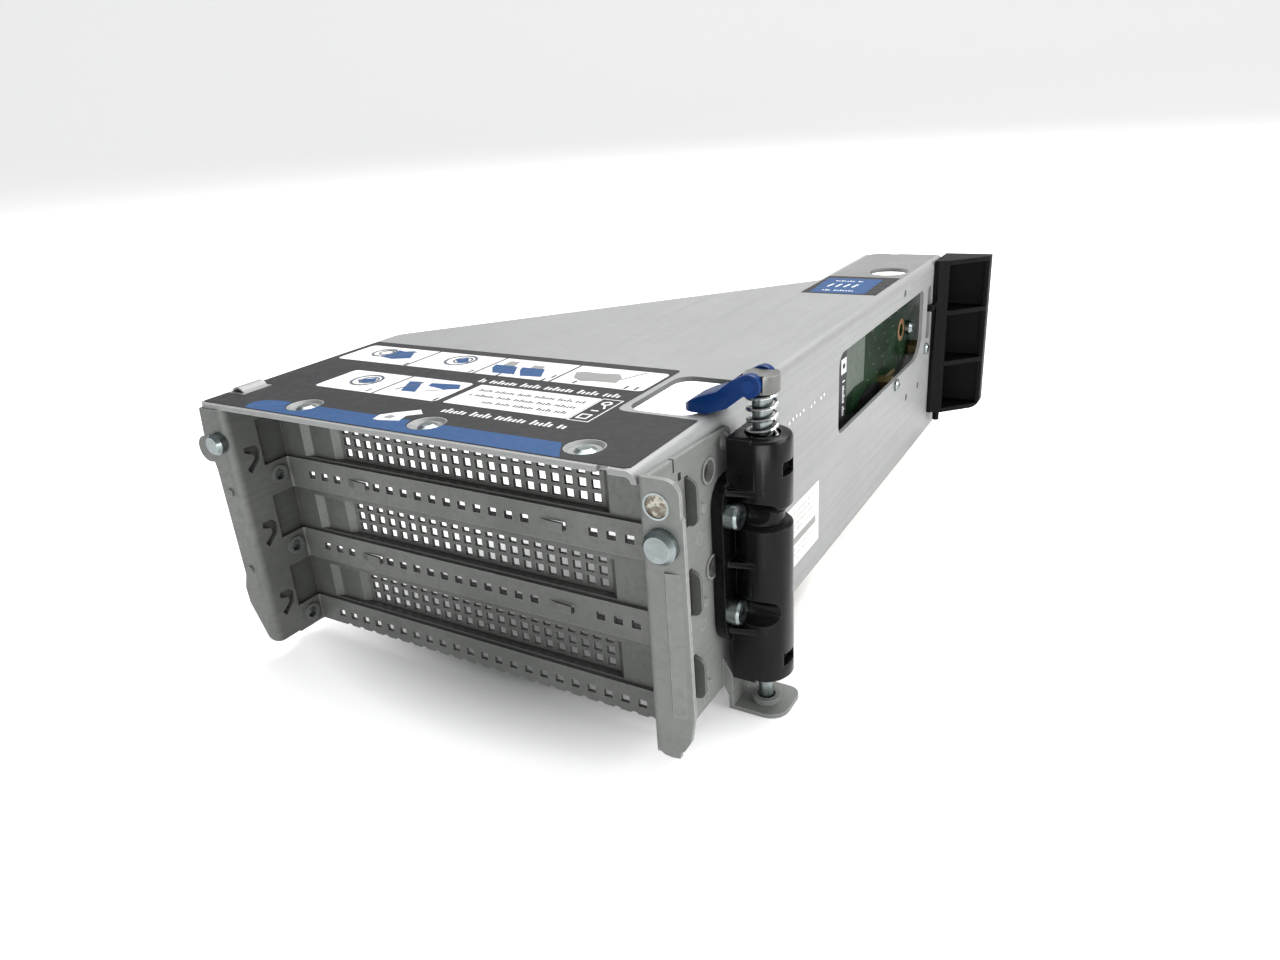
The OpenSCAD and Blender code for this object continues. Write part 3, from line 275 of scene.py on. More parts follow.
def printed_film(name, colour, roughness):
    """A thin printed film, slightly uneven and faintly scuffed."""
    material, tree, shader = new_material(name, colour, roughness)
    shader.inputs["Specular IOR Level"].default_value = 0.14
    clouds = noise(tree, 90.0, 3.0)
    scuffs = noise(tree, 420.0, 3.0)
    base = blend(tree, between(tree, clouds, 0.0, 1.0, 0.35, 0.7), colour, shade(colour, 0.90))
    scuffed = blend(tree, between(tree, scuffs, 0.0, 0.5, 0.64, 0.74), base,
                    shade(colour, 1.15, 0.01))
    tree.links.new(scuffed, shader.inputs["Base Color"])
    tree.links.new(between(tree, scuffs, roughness - 0.05, roughness + 0.15, 0.3, 0.8),
                   shader.inputs["Roughness"])
    bump(tree, shader, [(clouds, 30 * MICRON), (scuffs, 6 * MICRON)])
    return material


def worn_brass(name, colour, roughness):
    """Gold-plated or brass metal with a duller patina in patches."""
    material, tree, shader = new_material(name, colour, roughness, 1.0)
    patches = between(tree, noise(tree, 220.0, 3.0), 0.0, 1.0, 0.4, 0.7)
    tree.links.new(blend(tree, patches, colour, shade(colour, 0.6)), shader.inputs["Base Color"])
    tree.links.new(between(tree, patches, roughness, roughness + 0.15), shader.inputs["Roughness"])
    return material


def make_finishes():
    """Every finish of the cage, by the name of its material slot."""
    return {
        # For sheet steels the sixth number scales the dark colour of the painted shade in corners.
        "zinc_sheet": sheet_steel(
            "zinc_sheet", (0.36, 0.365, 0.36), (0.33, 0.335, 0.33), 0.46, 0.25, 0.75, 0.97),
        "panel_steel": sheet_steel(
            "panel_steel", (0.20, 0.207, 0.196), (0.13, 0.136, 0.127), 0.42, 0.2),
        "bracket_steel": sheet_steel(
            "bracket_steel", (0.275, 0.284, 0.272), (0.205, 0.212, 0.202), 0.42, 0.2, 0.7),
        "cover_steel": sheet_steel(
            "cover_steel", (0.18, 0.187, 0.176), (0.115, 0.121, 0.112), 0.42, 0.4),
        "screw_steel": bright_zinc("screw_steel", (0.34, 0.385, 0.385), 0.26),
        "board_green": circuit_board("board_green"),
        "socket_black": moulded_plastic("socket_black", (0.006, 0.006, 0.007), 0.5),
        "brass_post": worn_brass("brass_post", (0.22, 0.17, 0.08), 0.4),
        "baffle_black": moulded_plastic(
            "baffle_black", (0.003, 0.003, 0.0035), 0.5, shine=0.12),
        # housing: the bright lines on its rib edges are a painted highlight
        "housing_black": moulded_plastic(
            "housing_black", (0.0025, 0.0025, 0.003), 0.26, 2 * MICRON, highlight_lift=0.05),
        "collar_steel": bright_zinc("collar_steel", (0.42, 0.42, 0.43), 0.4),
        "spring_steel": bright_zinc("spring_steel", (0.66, 0.67, 0.66), 0.22),
        "cap_steel": sheet_steel("cap_steel", (0.22, 0.22, 0.21), (0.17, 0.17, 0.16), 0.42, 0.8),
        "lever_blue": moulded_plastic(
            "lever_blue", (0.004, 0.030, 0.135), 0.24, 2 * MICRON, 0.25),
        "label_black": printed_film("label_black", (0.040, 0.040, 0.042), 0.45),
        "label_white": printed_film("label_white", (0.80, 0.80, 0.775), 0.5),
        "print_blue": printed_film("print_blue", (0.036, 0.100, 0.250), 0.42),
        "print_white": printed_film("print_white", (0.95, 0.95, 0.945), 0.45),
        "print_grey": printed_film("print_grey", (0.34, 0.34, 0.33), 0.45),
        "print_line": printed_film("print_line", (0.13, 0.15, 0.18), 0.45),
        "print_dark": printed_film("print_dark", (0.05, 0.05, 0.055), 0.45),
        "print_pale": printed_film("print_pale", (0.55, 0.55, 0.53), 0.5),
        "copper_ring": worn_brass("copper_ring", (0.50, 0.27, 0.14), 0.4),
        "contact_gold": worn_brass("contact_gold", (0.80, 0.60, 0.28), 0.28),
        "bare_board": printed_film("bare_board", (0.20, 0.155, 0.085), 0.55),
        "board_sage": printed_film("board_sage", (0.105, 0.130, 0.105), 0.4),
        "strip_grey": printed_film("strip_grey", (0.29, 0.29, 0.285), 0.5),
        "bright_speck": bright_zinc("bright_speck", (0.90, 0.91, 0.92), 0.25),
        "rivet_end": rough_end("rivet_end", (0.60, 0.58, 0.50), (0.26, 0.22, 0.17)),
    }


FINISHES = make_finishes()


# ---------- mesh helpers ----------

# Points nearer than the two spots are one; angles are in degrees.
SAME_SPOT = 0.1 * MICRON
SAME_CAD_SPOT = 2 * MICRON
FLAT_ANGLE = 1.0
EDGE_ANGLE = 32.0
EDGE_SEGMENTS = 3
CORNER_SEGMENTS = 5
ROD_SIDES = 48
FINEST_HOLE = 10 * MICRON


def show(bm, name, smooth=False):
    """Puts an object with the mesh of bm in the scene."""
    mesh = bpy.data.meshes.new(name)
    bm.to_mesh(mesh)
    bm.free()
    for polygon in mesh.polygons:
        polygon.use_smooth = smooth
    piece = bpy.data.objects.new(name, mesh)
    bpy.context.scene.collection.objects.link(piece)
    return piece


def finish_piece(bm, name, finish, body):
    """Makes a shown piece from bm, in the frame's own place, that rides on a body."""
    bmesh.ops.remove_doubles(bm, verts=bm.verts, dist=SAME_SPOT)
    bmesh.ops.recalc_face_normals(bm, faces=bm.faces)
    piece = show(bm, name)
    piece.data.materials.append(FINISHES[finish])
    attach(piece, body)
    return piece


def lift(bm, face, step):
    """Makes a plate from a flat face, with its top a step away, and gives the top's points."""
    lifted = bmesh.ops.extrude_face_region(bm, geom=[face], use_keep_orig=True)
    top = [g for g in lifted["geom"] if isinstance(g, bmesh.types.BMVert)]
    bmesh.ops.translate(bm, verts=top, vec=step)
    return top


def add_plate(bm, centre, size, thickness, radius):
    """A thin level plate of size (x, y) with round corners, its underside on centre."""
    made = bmesh.ops.create_grid(bm, x_segments=1, y_segments=1, size=0.5)
    bmesh.ops.transform(bm, verts=made["verts"],
                        matrix=Matrix.Diagonal((size[0], size[1], 1.0, 1.0)))
    rounded = bmesh.ops.bevel(bm, geom=list(made["verts"]), offset=radius, affect="VERTICES",
                              segments=CORNER_SEGMENTS, profile=0.5, material=-1,
                              clamp_overlap=True)
    faces = (face for vert in rounded["verts"] for face in vert.link_faces)
    face = max(faces, key=lambda f: f.calc_area())
    top = lift(bm, face, (0, 0, thickness))
    bmesh.ops.transform(bm, verts=list(set(list(face.verts) + top)),
                        matrix=Matrix.Translation(centre))


def add_disc(bm, centre, outer, inner, thickness, normal, steps=32):
    """A flat ring on a plane with that normal; with inner 0 its hole is too fine to see."""
    turn = Vector((0, 0, 1)).rotation_difference(Vector(normal)).to_matrix().to_4x4()
    place = Matrix.Translation(centre) @ turn
    hole = max(inner, FINEST_HOLE)
    section = ((hole, 0), (outer, 0), (outer, thickness), (hole, thickness))
    face = bm.faces.new([bm.verts.new(place @ Vector((x, 0, z))) for x, z in section])
    bmesh.ops.spin(bm, geom=[face, *face.edges, *face.verts], cent=centre, axis=Vector(normal),
                   angle=2 * math.pi, steps=steps, use_merge=True)


def cut_with_rods(piece, rods):
    """Cuts round rods (centre, radius, height) along Z out of a piece's mesh."""
    for centre, radius, height in rods:
        bm = bmesh.new()
        bmesh.ops.create_cone(bm, cap_ends=True, segments=ROD_SIDES, radius1=radius,
                              radius2=radius, depth=height, matrix=Matrix.Translation(centre))
        cutter = show(bm, "cutter")
        tool = piece.modifiers.new("cut", "BOOLEAN")
        tool.operation = "DIFFERENCE"
        tool.solver = "EXACT"
        tool.object = cutter
        bpy.context.view_layer.update()
        shape = piece.evaluated_get(bpy.context.evaluated_depsgraph_get())
        result = bpy.data.meshes.new_from_object(shape)
        piece.modifiers.clear()
        uncut, rod = piece.data, cutter.data
        piece.data = result
        result.name = piece.name
        bpy.data.objects.remove(cutter)
        for mesh in (uncut, rod):
            bpy.data.meshes.remove(mesh)


def soften(node, width):
    """A merged copy of a CAD node with its sharp edges rounded."""
    source = frame["nodes"][node]
    bm = bmesh.new()
    bm.from_mesh(source.data)
    bmesh.ops.remove_doubles(bm, verts=bm.verts, dist=SAME_CAD_SPOT)
    bmesh.ops.dissolve_limit(bm, angle_limit=math.radians(FLAT_ANGLE), verts=bm.verts,
                             edges=bm.edges)
    piece = show(bm, node + "_soft", smooth=True)
    edge = piece.modifiers.new("edges", "BEVEL")
    edge.width = width
    edge.segments = EDGE_SEGMENTS
    edge.limit_method = "ANGLE"
    edge.angle_limit = math.radians(EDGE_ANGLE)
    edge.harden_normals = True
    return piece


# ---------- places on the cage, in millimetres ----------
# Widths run from the left wall, depths from the webs and heights from the floor. A print
# starts a little within its film, at level 0; ON_PRINT and ON_SHAPE lie on prints below them.

UP = Vector((0.0, 0.0, 1.0))
OUT = Vector((1.0, 0.0, 0.0))
PRINT_T = 0.05 * MM
FILM_SINK = 0.02
BOARD_SINK = 0.01
ON_PRINT = 0.04
ON_SHAPE = 0.07
FILM_LOW, FILM_HIGH = (Vector(corner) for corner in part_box("front_label"))
SIDE_LOW, SIDE_HIGH = (Vector(corner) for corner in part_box("side_label"))
BOARD_LOW, BOARD_HIGH = (Vector(corner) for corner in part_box("riser_board"))
CAGE_X = FILM_LOW.x + 7.5 * MM
CAGE_Y = FILM_LOW.y + 14.2 * MM


def film_at(x, y, level=0.0):
    """A spot on the top films."""
    return Vector((CAGE_X + x * MM, CAGE_Y + y * MM, FILM_HIGH.z + (level - FILM_SINK) * MM))


def side_at(y, z, level):
    """A spot on the side film."""
    return Vector((SIDE_HIGH.x + (level - FILM_SINK) * MM, CAGE_Y + y * MM, z * MM))


def board_at(y, z, level=0.0):
    """A spot on the riser board's outer face."""
    return Vector((BOARD_HIGH.x + (level - BOARD_SINK) * MM, CAGE_Y + y * MM, z * MM))


def board_in_at(y, z, level):
    """A spot on the riser board's inner face."""
    return Vector((BOARD_LOW.x - (level - BOARD_SINK) * MM, CAGE_Y + y * MM, z * MM))


def add_outline(bm, at, points, normal, level=0.0, thickness=PRINT_T):
    """A flat plate with its outline through points of a plane, lifted along the normal."""
    face = bm.faces.new([bm.verts.new(at(*point, level)) for point in points])
    lift(bm, face, normal * thickness)


def add_bar(bm, at, low, high, normal, level=0.0, thickness=PRINT_T):
    """A rectangle between two corners of a plane."""
    points = (low, (high[0], low[1]), high, (low[0], high[1]))
    add_outline(bm, at, points, normal, level, thickness)


def add_frame(bm, at, low, high, line, normal):
    """A rectangle's outline, in bars as wide as line."""
    (left, near), (right, far) = low, high
    add_bar(bm, at, (left, near), (right, near + line), normal)
    add_bar(bm, at, (left, far - line), (right, far), normal)
    add_bar(bm, at, (left, near + line), (left + line, far - line), normal)
    add_bar(bm, at, (right - line, near + line), (right, far - line), normal)


def add_line(bm, at, start, end, width, normal, level=0.0):
    """A straight stroke between two points of a plane."""
    start, end = Vector(start), Vector(end)
    along = (end - start).normalized() * width / 2
    side = Vector((-along.y, along.x))
    corners = (start + side, start - side, end - side, end + side)
    add_outline(bm, at, [tuple(corner) for corner in corners], normal, level)


TICK_HEIGHTS = (1.0, 0.62, 0.62, 1.0, 0.62, 0.0, 0.8, 0.62, 1.0, 0.62, 0.62, 0.8, 0.62, 0.0)
TICK_SHARE = 0.55


def add_ticks(bm, at, start, end, height, normal, level, pitch, first):
    """A row of small blank bars in the rhythm of a printed line."""
    count = int((end - start[0]) / pitch)
    for step in range(count):
        tall = height * TICK_HEIGHTS[(step + first) % len(TICK_HEIGHTS)]
        if tall:
            left = start[0] + step * pitch
            corner = (left + TICK_SHARE * pitch, start[1] + tall)
            add_bar(bm, at, (left, start[1]), corner, normal, level)


def add_panel(bm, low, high, radius):
    """A printed panel with round corners on the top film."""
    centre = film_at((low[0] + high[0]) / 2, (low[1] + high[1]) / 2)
    size = ((high[0] - low[0]) * MM, (high[1] - low[1]) * MM)
    add_plate(bm, centre, size, PRINT_T, radius * MM)


def add_ring(bm, x, y, outer, inner, level):
    """A printed ring on the top film."""
    add_disc(bm, film_at(x, y, level), outer * MM, inner * MM, PRINT_T, (0, 0, 1))


# ---------- settings ----------


class RISER_PG_cage(bpy.types.PropertyGroup):
    """Sizes and colours that a user would change."""

    print_radius: bpy.props.FloatProperty(
        name="Panel corner", description="Corner radius of the printed panels, in millimetres",
        default=1.4, min=0.2, max=3.0)
    divider: bpy.props.FloatProperty(
        name="Divider", description="Width of the dark lines between panels, in millimetres",
        default=0.55, min=0.1, max=1.5)
    edge_round: bpy.props.FloatProperty(
        name="Moulded edge", description="Radius on the edges of the moulded pieces",
        default=0.00035, min=0.0001, max=0.001, unit="LENGTH")
    floor_colour: bpy.props.FloatVectorProperty(
        name="Floor colour", description="Colour of the floor and backdrop", subtype="COLOR",
        size=3, default=(0.78, 0.78, 0.78), min=0.0, max=1.0)
    lens: bpy.props.FloatProperty(
        name="Lens", description="Focal length of the camera in millimetres", default=25.733,
        min=10.0, max=200.0, unit="CAMERA")


# ---------- printed films ----------

BACK_ROW = ((-5.2, 26.3), (91.7, 40.3))
BACK_DIVIDERS = (20.2, 43.1, 66.4)
FRONT_ROW = ((10.0, 4.7), (49.8, 19.0))
FRONT_DIVIDERS = (30.0,)
NOTE_BOX = ((52.0, 4.9), (86.0, 18.9))
NOTE_CORNER = 0.4
ICON_BOX = ((86.2, 4.6), (91.6, 19.1))
ICON_BOX_LINE = 0.3
ICON_RING = (88.9, 16.3, 1.3, 0.7)
ICON_STROKE = ((89.2, 15.0), (90.2, 13.0))
ICON_DASH = ((88.0, 11.1), (89.8, 11.7))
ICON_SQUARE = ((87.3, 6.1), (90.1, 9.0))
ICON_LINE = 0.5
# Each row of bars: left end, depth, right end and the place in the rhythm where it starts.
HEADINGS = ((49.2, 20.6, 89.5, 3), (56.2, -0.6, 90.0, 7))
HEADING_TALL, HEADING_PITCH = 2.5, 1.15
NOTE_ROWS = ((54.5, 14.6, 84.5, 0), (54.5, 11.0, 84.5, 4), (61.0, 7.4, 84.5, 9))
NOTE_TALL, NOTE_PITCH = 1.5, 0.8


class RISER_OT_film_prints(bpy.types.Operator):
    """Prints the front film: white panels, their dividers and rows of blank bars"""

    bl_idname = "riser_cage.film_prints"
    bl_label = "Front film prints"

    def execute(self, context):
        settings = context.scene.riser_cage
        white = bmesh.new()
        for low, high in (BACK_ROW, FRONT_ROW):
            add_panel(white, low, high, settings.print_radius)
        add_panel(white, *NOTE_BOX, NOTE_CORNER)
        finish_piece(white, "film_panels", "print_white", "cage")

        outline = bmesh.new()
        add_frame(outline, film_at, *ICON_BOX, ICON_BOX_LINE, UP)
        add_ring(outline, *ICON_RING, 0.0)
        add_line(outline, film_at, *ICON_STROKE, ICON_LINE, UP)
        add_bar(outline, film_at, *ICON_DASH, UP)
        add_frame(outline, film_at, *ICON_SQUARE, ICON_LINE, UP)
        finish_piece(outline, "film_outlines", "print_white", "cage")

        rows = bmesh.new()
        for left, depth, right, first in HEADINGS:
            add_ticks(rows, film_at, (left, depth), right, HEADING_TALL, UP, 0.0, HEADING_PITCH,
                      first)
        finish_piece(rows, "film_headings", "print_white", "cage")

        lines = bmesh.new()
        half = settings.divider / 2
        for (low, high), dividers in ((BACK_ROW, BACK_DIVIDERS), (FRONT_ROW, FRONT_DIVIDERS)):
            for x in dividers:
                add_bar(lines, film_at, (x - half, low[1]), (x + half, high[1]), UP, ON_PRINT)
        finish_piece(lines, "film_dividers", "print_dark", "cage")

        text = bmesh.new()
        for left, depth, right, first in NOTE_ROWS:
            add_ticks(text, film_at, (left, depth), right, NOTE_TALL, UP, ON_PRINT, NOTE_PITCH,
                      first)
        finish_piece(text, "film_lines", "print_dark", "cage")
        return {"FINISHED"}


BLUE_SHAPES = (
    ((6.5, 31.2), (11.5, 30.2), (16.2, 32.4), (12.4, 38.6), (9.6, 37.4), (7.0, 38.0)),
    ((29.9, 35.0), (33.0, 32.4), (35.4, 33.6), (32.4, 37.4)),
    ((43.9, 34.5), (44.7, 31.9), (47.7, 28.2), (54.2, 28.5), (50.9, 34.3)),
    ((52.4, 34.3), (53.6, 31.7), (56.4, 28.0), (62.2, 28.8), (59.2, 34.6)),
    ((17.6, 12.2), (20.2, 10.0), (24.0, 11.6), (21.6, 14.8)),
    ((32.3, 15.3), (35.6, 8.6), (39.9, 8.9), (37.9, 12.6), (35.9, 16.0)),
    ((38.9, 15.9), (39.6, 13.8), (45.7, 12.7), (49.0, 14.2), (46.9, 17.1), (42.0, 16.4)),
)
GREY_SHAPES = (
    ((1.2, 37.0), (1.6, 36.2), (6.2, 37.6), (6.0, 38.6)),
    ((68.5, 34.7), (70.4, 30.8), (73.3, 29.1), (77.6, 29.9), (82.7, 30.1), (82.0, 34.0),
     (79.8, 36.5), (74.6, 35.6), (70.3, 35.8)),
    ((46.2, 34.4), (49.8, 34.4), (48.9, 38.0), (46.0, 38.1)),
    ((54.9, 34.4), (58.6, 34.4), (57.9, 36.6), (54.6, 36.7)),
)
DARK_MARKS = ((50.2, 26.0), (63.8, 26.0), (72.4, 26.8), (86.5, 26.9), (19.0, 26.6), (41.2, 26.6),
              (64.8, 29.0), (89.2, 26.9), (27.0, 5.4), (48.6, 5.2))
MARK_WIDE, MARK_TALL = 0.6, 2.0
DARK_STROKES = (((82.4, 32.6), (85.6, 39.4), 0.35), ((41.5, 10.2), (45.9, 12.6), 0.3))
RINGS = ((4.6, 34.6, 3.6), (31.9, 34.8, 4.5), (20.4, 12.6, 4.3))
RING_LINE, INNER_RING_LINE = 0.7, 0.5
INNER_RING_SHARE = 0.6
INNER_RING_SHIFT = (0.6, 0.2)
RING_STROKES = (((33.5, 9.0), (36.5, 15.6)), ((9.0, 31.0), (13.6, 38.0)))
RING_STROKE_WIDTH = 0.5


class RISER_OT_film_icons(bpy.types.Operator):
    """Puts plain blocks, rings and strokes in the film's panels"""

    bl_idname = "riser_cage.film_icons"
    bl_label = "Front film shapes"

    def execute(self, context):
        blue = bmesh.new()
        for shape in BLUE_SHAPES:
            add_outline(blue, film_at, shape, UP, ON_PRINT)
        finish_piece(blue, "film_blocks_blue", "print_blue", "cage")

        grey = bmesh.new()
        for shape in GREY_SHAPES:
            add_outline(grey, film_at, shape, UP, ON_SHAPE)
        finish_piece(grey, "film_shapes_grey", "print_grey", "cage")

        rings = bmesh.new()
        for x, y, outer in RINGS:
            add_ring(rings, x, y, outer, outer - RING_LINE, ON_SHAPE)
            inner = outer * INNER_RING_SHARE
            add_ring(rings, x + INNER_RING_SHIFT[0], y + INNER_RING_SHIFT[1], inner,
                     inner - INNER_RING_LINE, ON_SHAPE)
        for start, end in RING_STROKES:
            add_line(rings, film_at, start, end, RING_STROKE_WIDTH, UP, ON_SHAPE)
        finish_piece(rings, "film_rings", "print_line", "cage")

        marks = bmesh.new()
        for x, y in DARK_MARKS:
            add_bar(marks, film_at, (x, y), (x + MARK_WIDE, y + MARK_TALL), UP, ON_PRINT)
        for start, end, width in DARK_STROKES:
            add_line(marks, film_at, start, end, width, UP, ON_PRINT)
        finish_piece(marks, "film_marks_dark", "print_dark", "cage")
        return {"FINISHED"}


STRIPE = ((7.9, -14.0), (6.6, -12.2), (6.4, -10.4), (7.6, -8.8), (9.8, -7.8), (13.0, -7.3),
          (20.0, -7.3), (93.4, -7.3), (95.2, -10.4), (97.4, -14.0))
SEAT_X = (20.8, 58.6, 98.8)
SEAT_RADIUS, SEAT_DEPTH = 4.5, 2.0
MARGIN = ((106.6, -14.1), (111.6, -14.1), (112.5, -13.3), (112.5, 13.2), (106.6, 13.2))
TAG = ((45.0, -9.7), (47.0, -9.8), (51.6, -8.6), (50.8, -5.6), (53.5, -3.2), (51.2, -1.2),
       (46.6, -4.7), (44.4, -7.0))
TAG_LEVEL, TAG_SPOT_LEVEL = 0.05, 0.09
TAG_SPOT = ((46.3, -8.2), (47.0, -6.4), (48.9, -6.5), (48.7, -8.3))


class RISER_OT_film_stripe(bpy.types.Operator):
    """Lays the blue stripe, cut out round the rivet seats, the film's end margin and a tag"""

    bl_idname = "riser_cage.film_stripe"
    bl_label = "Blue stripe"

    def execute(self, context):
        stripe = bmesh.new()
        add_outline(stripe, film_at, STRIPE, UP)
        piece = finish_piece(stripe, "film_stripe", "print_blue", "cage")
        seat_low, seat_high = (Vector(corner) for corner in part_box("front_rivets"))
        seat_y = (seat_low.y + seat_high.y) / 2
        head = (seat_high.y - seat_low.y) / 2
        span = seat_high.x - seat_low.x - 2 * head
        rods = []
        for x in SEAT_X:
            along = span * (x - SEAT_X[0]) / (SEAT_X[-1] - SEAT_X[0])
            centre = Vector((seat_low.x + head + along, seat_y, FILM_HIGH.z))
            rods.append((centre, SEAT_RADIUS * MM, SEAT_DEPTH * MM))
        cut_with_rods(piece, rods)

        margin = bmesh.new()
        add_outline(margin, film_at, MARGIN, UP)
        finish_piece(margin, "film_margin", "label_black", "cage")

        tag = bmesh.new()
        add_outline(tag, film_at, TAG, UP, TAG_LEVEL)
        finish_piece(tag, "film_tag", "print_white", "cage")
        spot = bmesh.new()
        add_outline(spot, film_at, TAG_SPOT, UP, TAG_SPOT_LEVEL)
        finish_piece(spot, "film_tag_spot", "print_grey", "cage")
        return {"FINISHED"}


REAR_FIELD = ((90.1, 135.6), (107.6, 135.6), (107.0, 158.6), (88.6, 158.6))
REAR_BARE = ((88.0, 160.4), (112.0, 160.4), (112.0, 206.6), (91.4, 206.6), (88.0, 203.4))
REAR_BARE_LEVEL = -0.06
REAR_HOLE = (104.5, 173.0)
REAR_HOLE_RADIUS, REAR_HOLE_DEPTH = 6.8, 4.0
# Each row of bars: left end, depth, right end, height and start in the rhythm.
REAR_ROWS = ((93.0, 138.6, 104.5, 1.7, 2), (92.6, 153.2, 102.6, 1.6, 6))
REAR_PITCH = 0.95
REAR_STROKES, REAR_STROKE_LEFT, REAR_STROKE_STEP = 4, 92.8, 2.7
REAR_STROKE_NEAR, REAR_STROKE_FAR = 144.6, 149.2
REAR_STROKE_LEAN, REAR_STROKE_WIDTH = 0.6, 0.7


class RISER_OT_rear_prints(bpy.types.Operator):
    """Prints the rear film: a blue field with plain white marks, and a bare strip behind it"""

    bl_idname = "riser_cage.rear_prints"
    bl_label = "Rear film prints"

    def execute(self, context):
        blue = bmesh.new()
        add_outline(blue, film_at, REAR_FIELD, UP)
        finish_piece(blue, "rear_film_field", "print_blue", "cage")
        marks = bmesh.new()
        for left, depth, right, tall, first in REAR_ROWS:
            add_ticks(marks, film_at, (left, depth), right, tall, UP, ON_PRINT, REAR_PITCH, first)
        for step in range(REAR_STROKES):
            x = REAR_STROKE_LEFT + REAR_STROKE_STEP * step
            near, far = (x, REAR_STROKE_NEAR), (x + REAR_STROKE_LEAN, REAR_STROKE_FAR)
            add_line(marks, film_at, near, far, REAR_STROKE_WIDTH, UP, ON_PRINT)
        finish_piece(marks, "rear_film_marks", "print_white", "cage")

        strip = bmesh.new()
        add_outline(strip, film_at, REAR_BARE, UP, REAR_BARE_LEVEL)
        piece = finish_piece(strip, "rear_film_bare", "strip_grey", "cage")
        rod = (film_at(*REAR_HOLE), REAR_HOLE_RADIUS * MM, REAR_HOLE_DEPTH * MM)
        cut_with_rods(piece, [rod])
        return {"FINISHED"}


# Rows of bars: how many, the first one's distance from the film's edge, the step from one to
# the next, their height and how much sooner some of them end.
SIDE_MARGIN, SIDE_PITCH = 2.0, 0.9
UPPER_ROWS, UPPER_DROP, UPPER_STEP, UPPER_TALL, UPPER_SHORTER = 4, 2.6, 1.75, 0.95, 3.0
LOWER_ROWS, LOWER_RISE, LOWER_STEP, LOWER_TALL, LOWER_SHORTER = 3, 4.4, 1.55, 0.85, 5.0
BAND_LOW, BAND_HIGH, BAND_SHORT = 6.4, 8.4, 2.6


class RISER_OT_side_prints(bpy.types.Operator):
    """Prints the side film: rows of blank bars and one broad grey band"""

    bl_idname = "riser_cage.side_prints"
    bl_label = "Side film prints"

    def execute(self, context):
        bars = bmesh.new()
        low, high = SIDE_LOW.z / MM, SIDE_HIGH.z / MM
        near = (SIDE_LOW.y - CAGE_Y) / MM + SIDE_MARGIN
        far = (SIDE_HIGH.y - CAGE_Y) / MM
        for row in range(UPPER_ROWS):
            z = high - UPPER_DROP - UPPER_STEP * row
            end = far - SIDE_MARGIN - UPPER_SHORTER * (row % 2)
            add_ticks(bars, side_at, (near, z), end, UPPER_TALL, OUT, 0.0, SIDE_PITCH, 3 * row)
        for row in range(LOWER_ROWS):
            z = low + LOWER_RISE - LOWER_STEP * row
            end = far - 2 * SIDE_MARGIN - LOWER_SHORTER * row
            add_ticks(bars, side_at, (near, z), end, LOWER_TALL, OUT, 0.0, SIDE_PITCH, 5 * row)
        finish_piece(bars, "side_film_bars", "print_pale", "cage")
        band = bmesh.new()
        add_bar(band, side_at, (near, low + BAND_LOW), (far - BAND_SHORT, low + BAND_HIGH), OUT)
        finish_piece(band, "side_film_band", "print_grey", "cage")
        return {"FINISHED"}


# ---------- riser board ----------

BOARD_HOLE = (175.0, 49.1)
PLATED_OUTER, PLATED_INNER, PLATED_THICKNESS = 3.9, 2.25, 0.06
# One contact in each millimetre along the board's lower edge, but for the key slot.
CONTACTS, FIRST_CONTACT = 134, 21.0
CONTACT_HALF, CONTACT_LOW, CONTACT_HIGH = 0.35, 0.4, 4.6
KEY_SLOT, KEY_HALF = 56.5, 2.2
COATING, SILK_THICKNESS = 0.04, 0.03
SAGE_PATCH = ((116.4, 42.5), (124.0, 43.4), (133.4, 42.8), (134.2, 60.0), (116.4, 60.0))
BOARD_FILM = ((100.0, 29.6), (161.0, 29.6), (161.0, 31.6), (135.1, 32.2), (116.0, 36.9),
              (116.4, 60.0), (100.0, 60.0))
BOARD_FILM_THICKNESS = 0.08
ON_BOARD_FILM, ON_BOARD_MARK = 0.06, 0.1
FILM_SQUARE = ((111.5, 50.6), (116.0, 55.2))
FILM_SPOT = ((112.6, 52.2), (114.9, 53.6))
TAN_PART = ((155.0, 33.0), (166.5, 37.4))
DARK_PART = ((126.0, 34.0), (151.0, 32.6), (152.0, 35.4), (147.0, 38.0), (138.0, 39.4),
             (130.5, 38.2))
TAN_PART_THICKNESS, DARK_PART_THICKNESS = 0.9, 0.7
# Printed marks rise and fall through the rows and leave the plated hole clear.
SILK_MARKS, SILK_STEP = 22, 1.9
SILK_START = (137.0, 41.5)
SILK_ROWS, SILK_HEIGHT = 5, 15.0
SILK_SIZES = ((1.6, 0.3), (0.3, 1.4), (2.2, 0.25))
HOLE_CLEAR = (6.0, 5.0)


def board_upright_at(z, y, level):
    """A spot on the board's outer face, for a row that runs upwards."""
    return board_at(y, z, level)


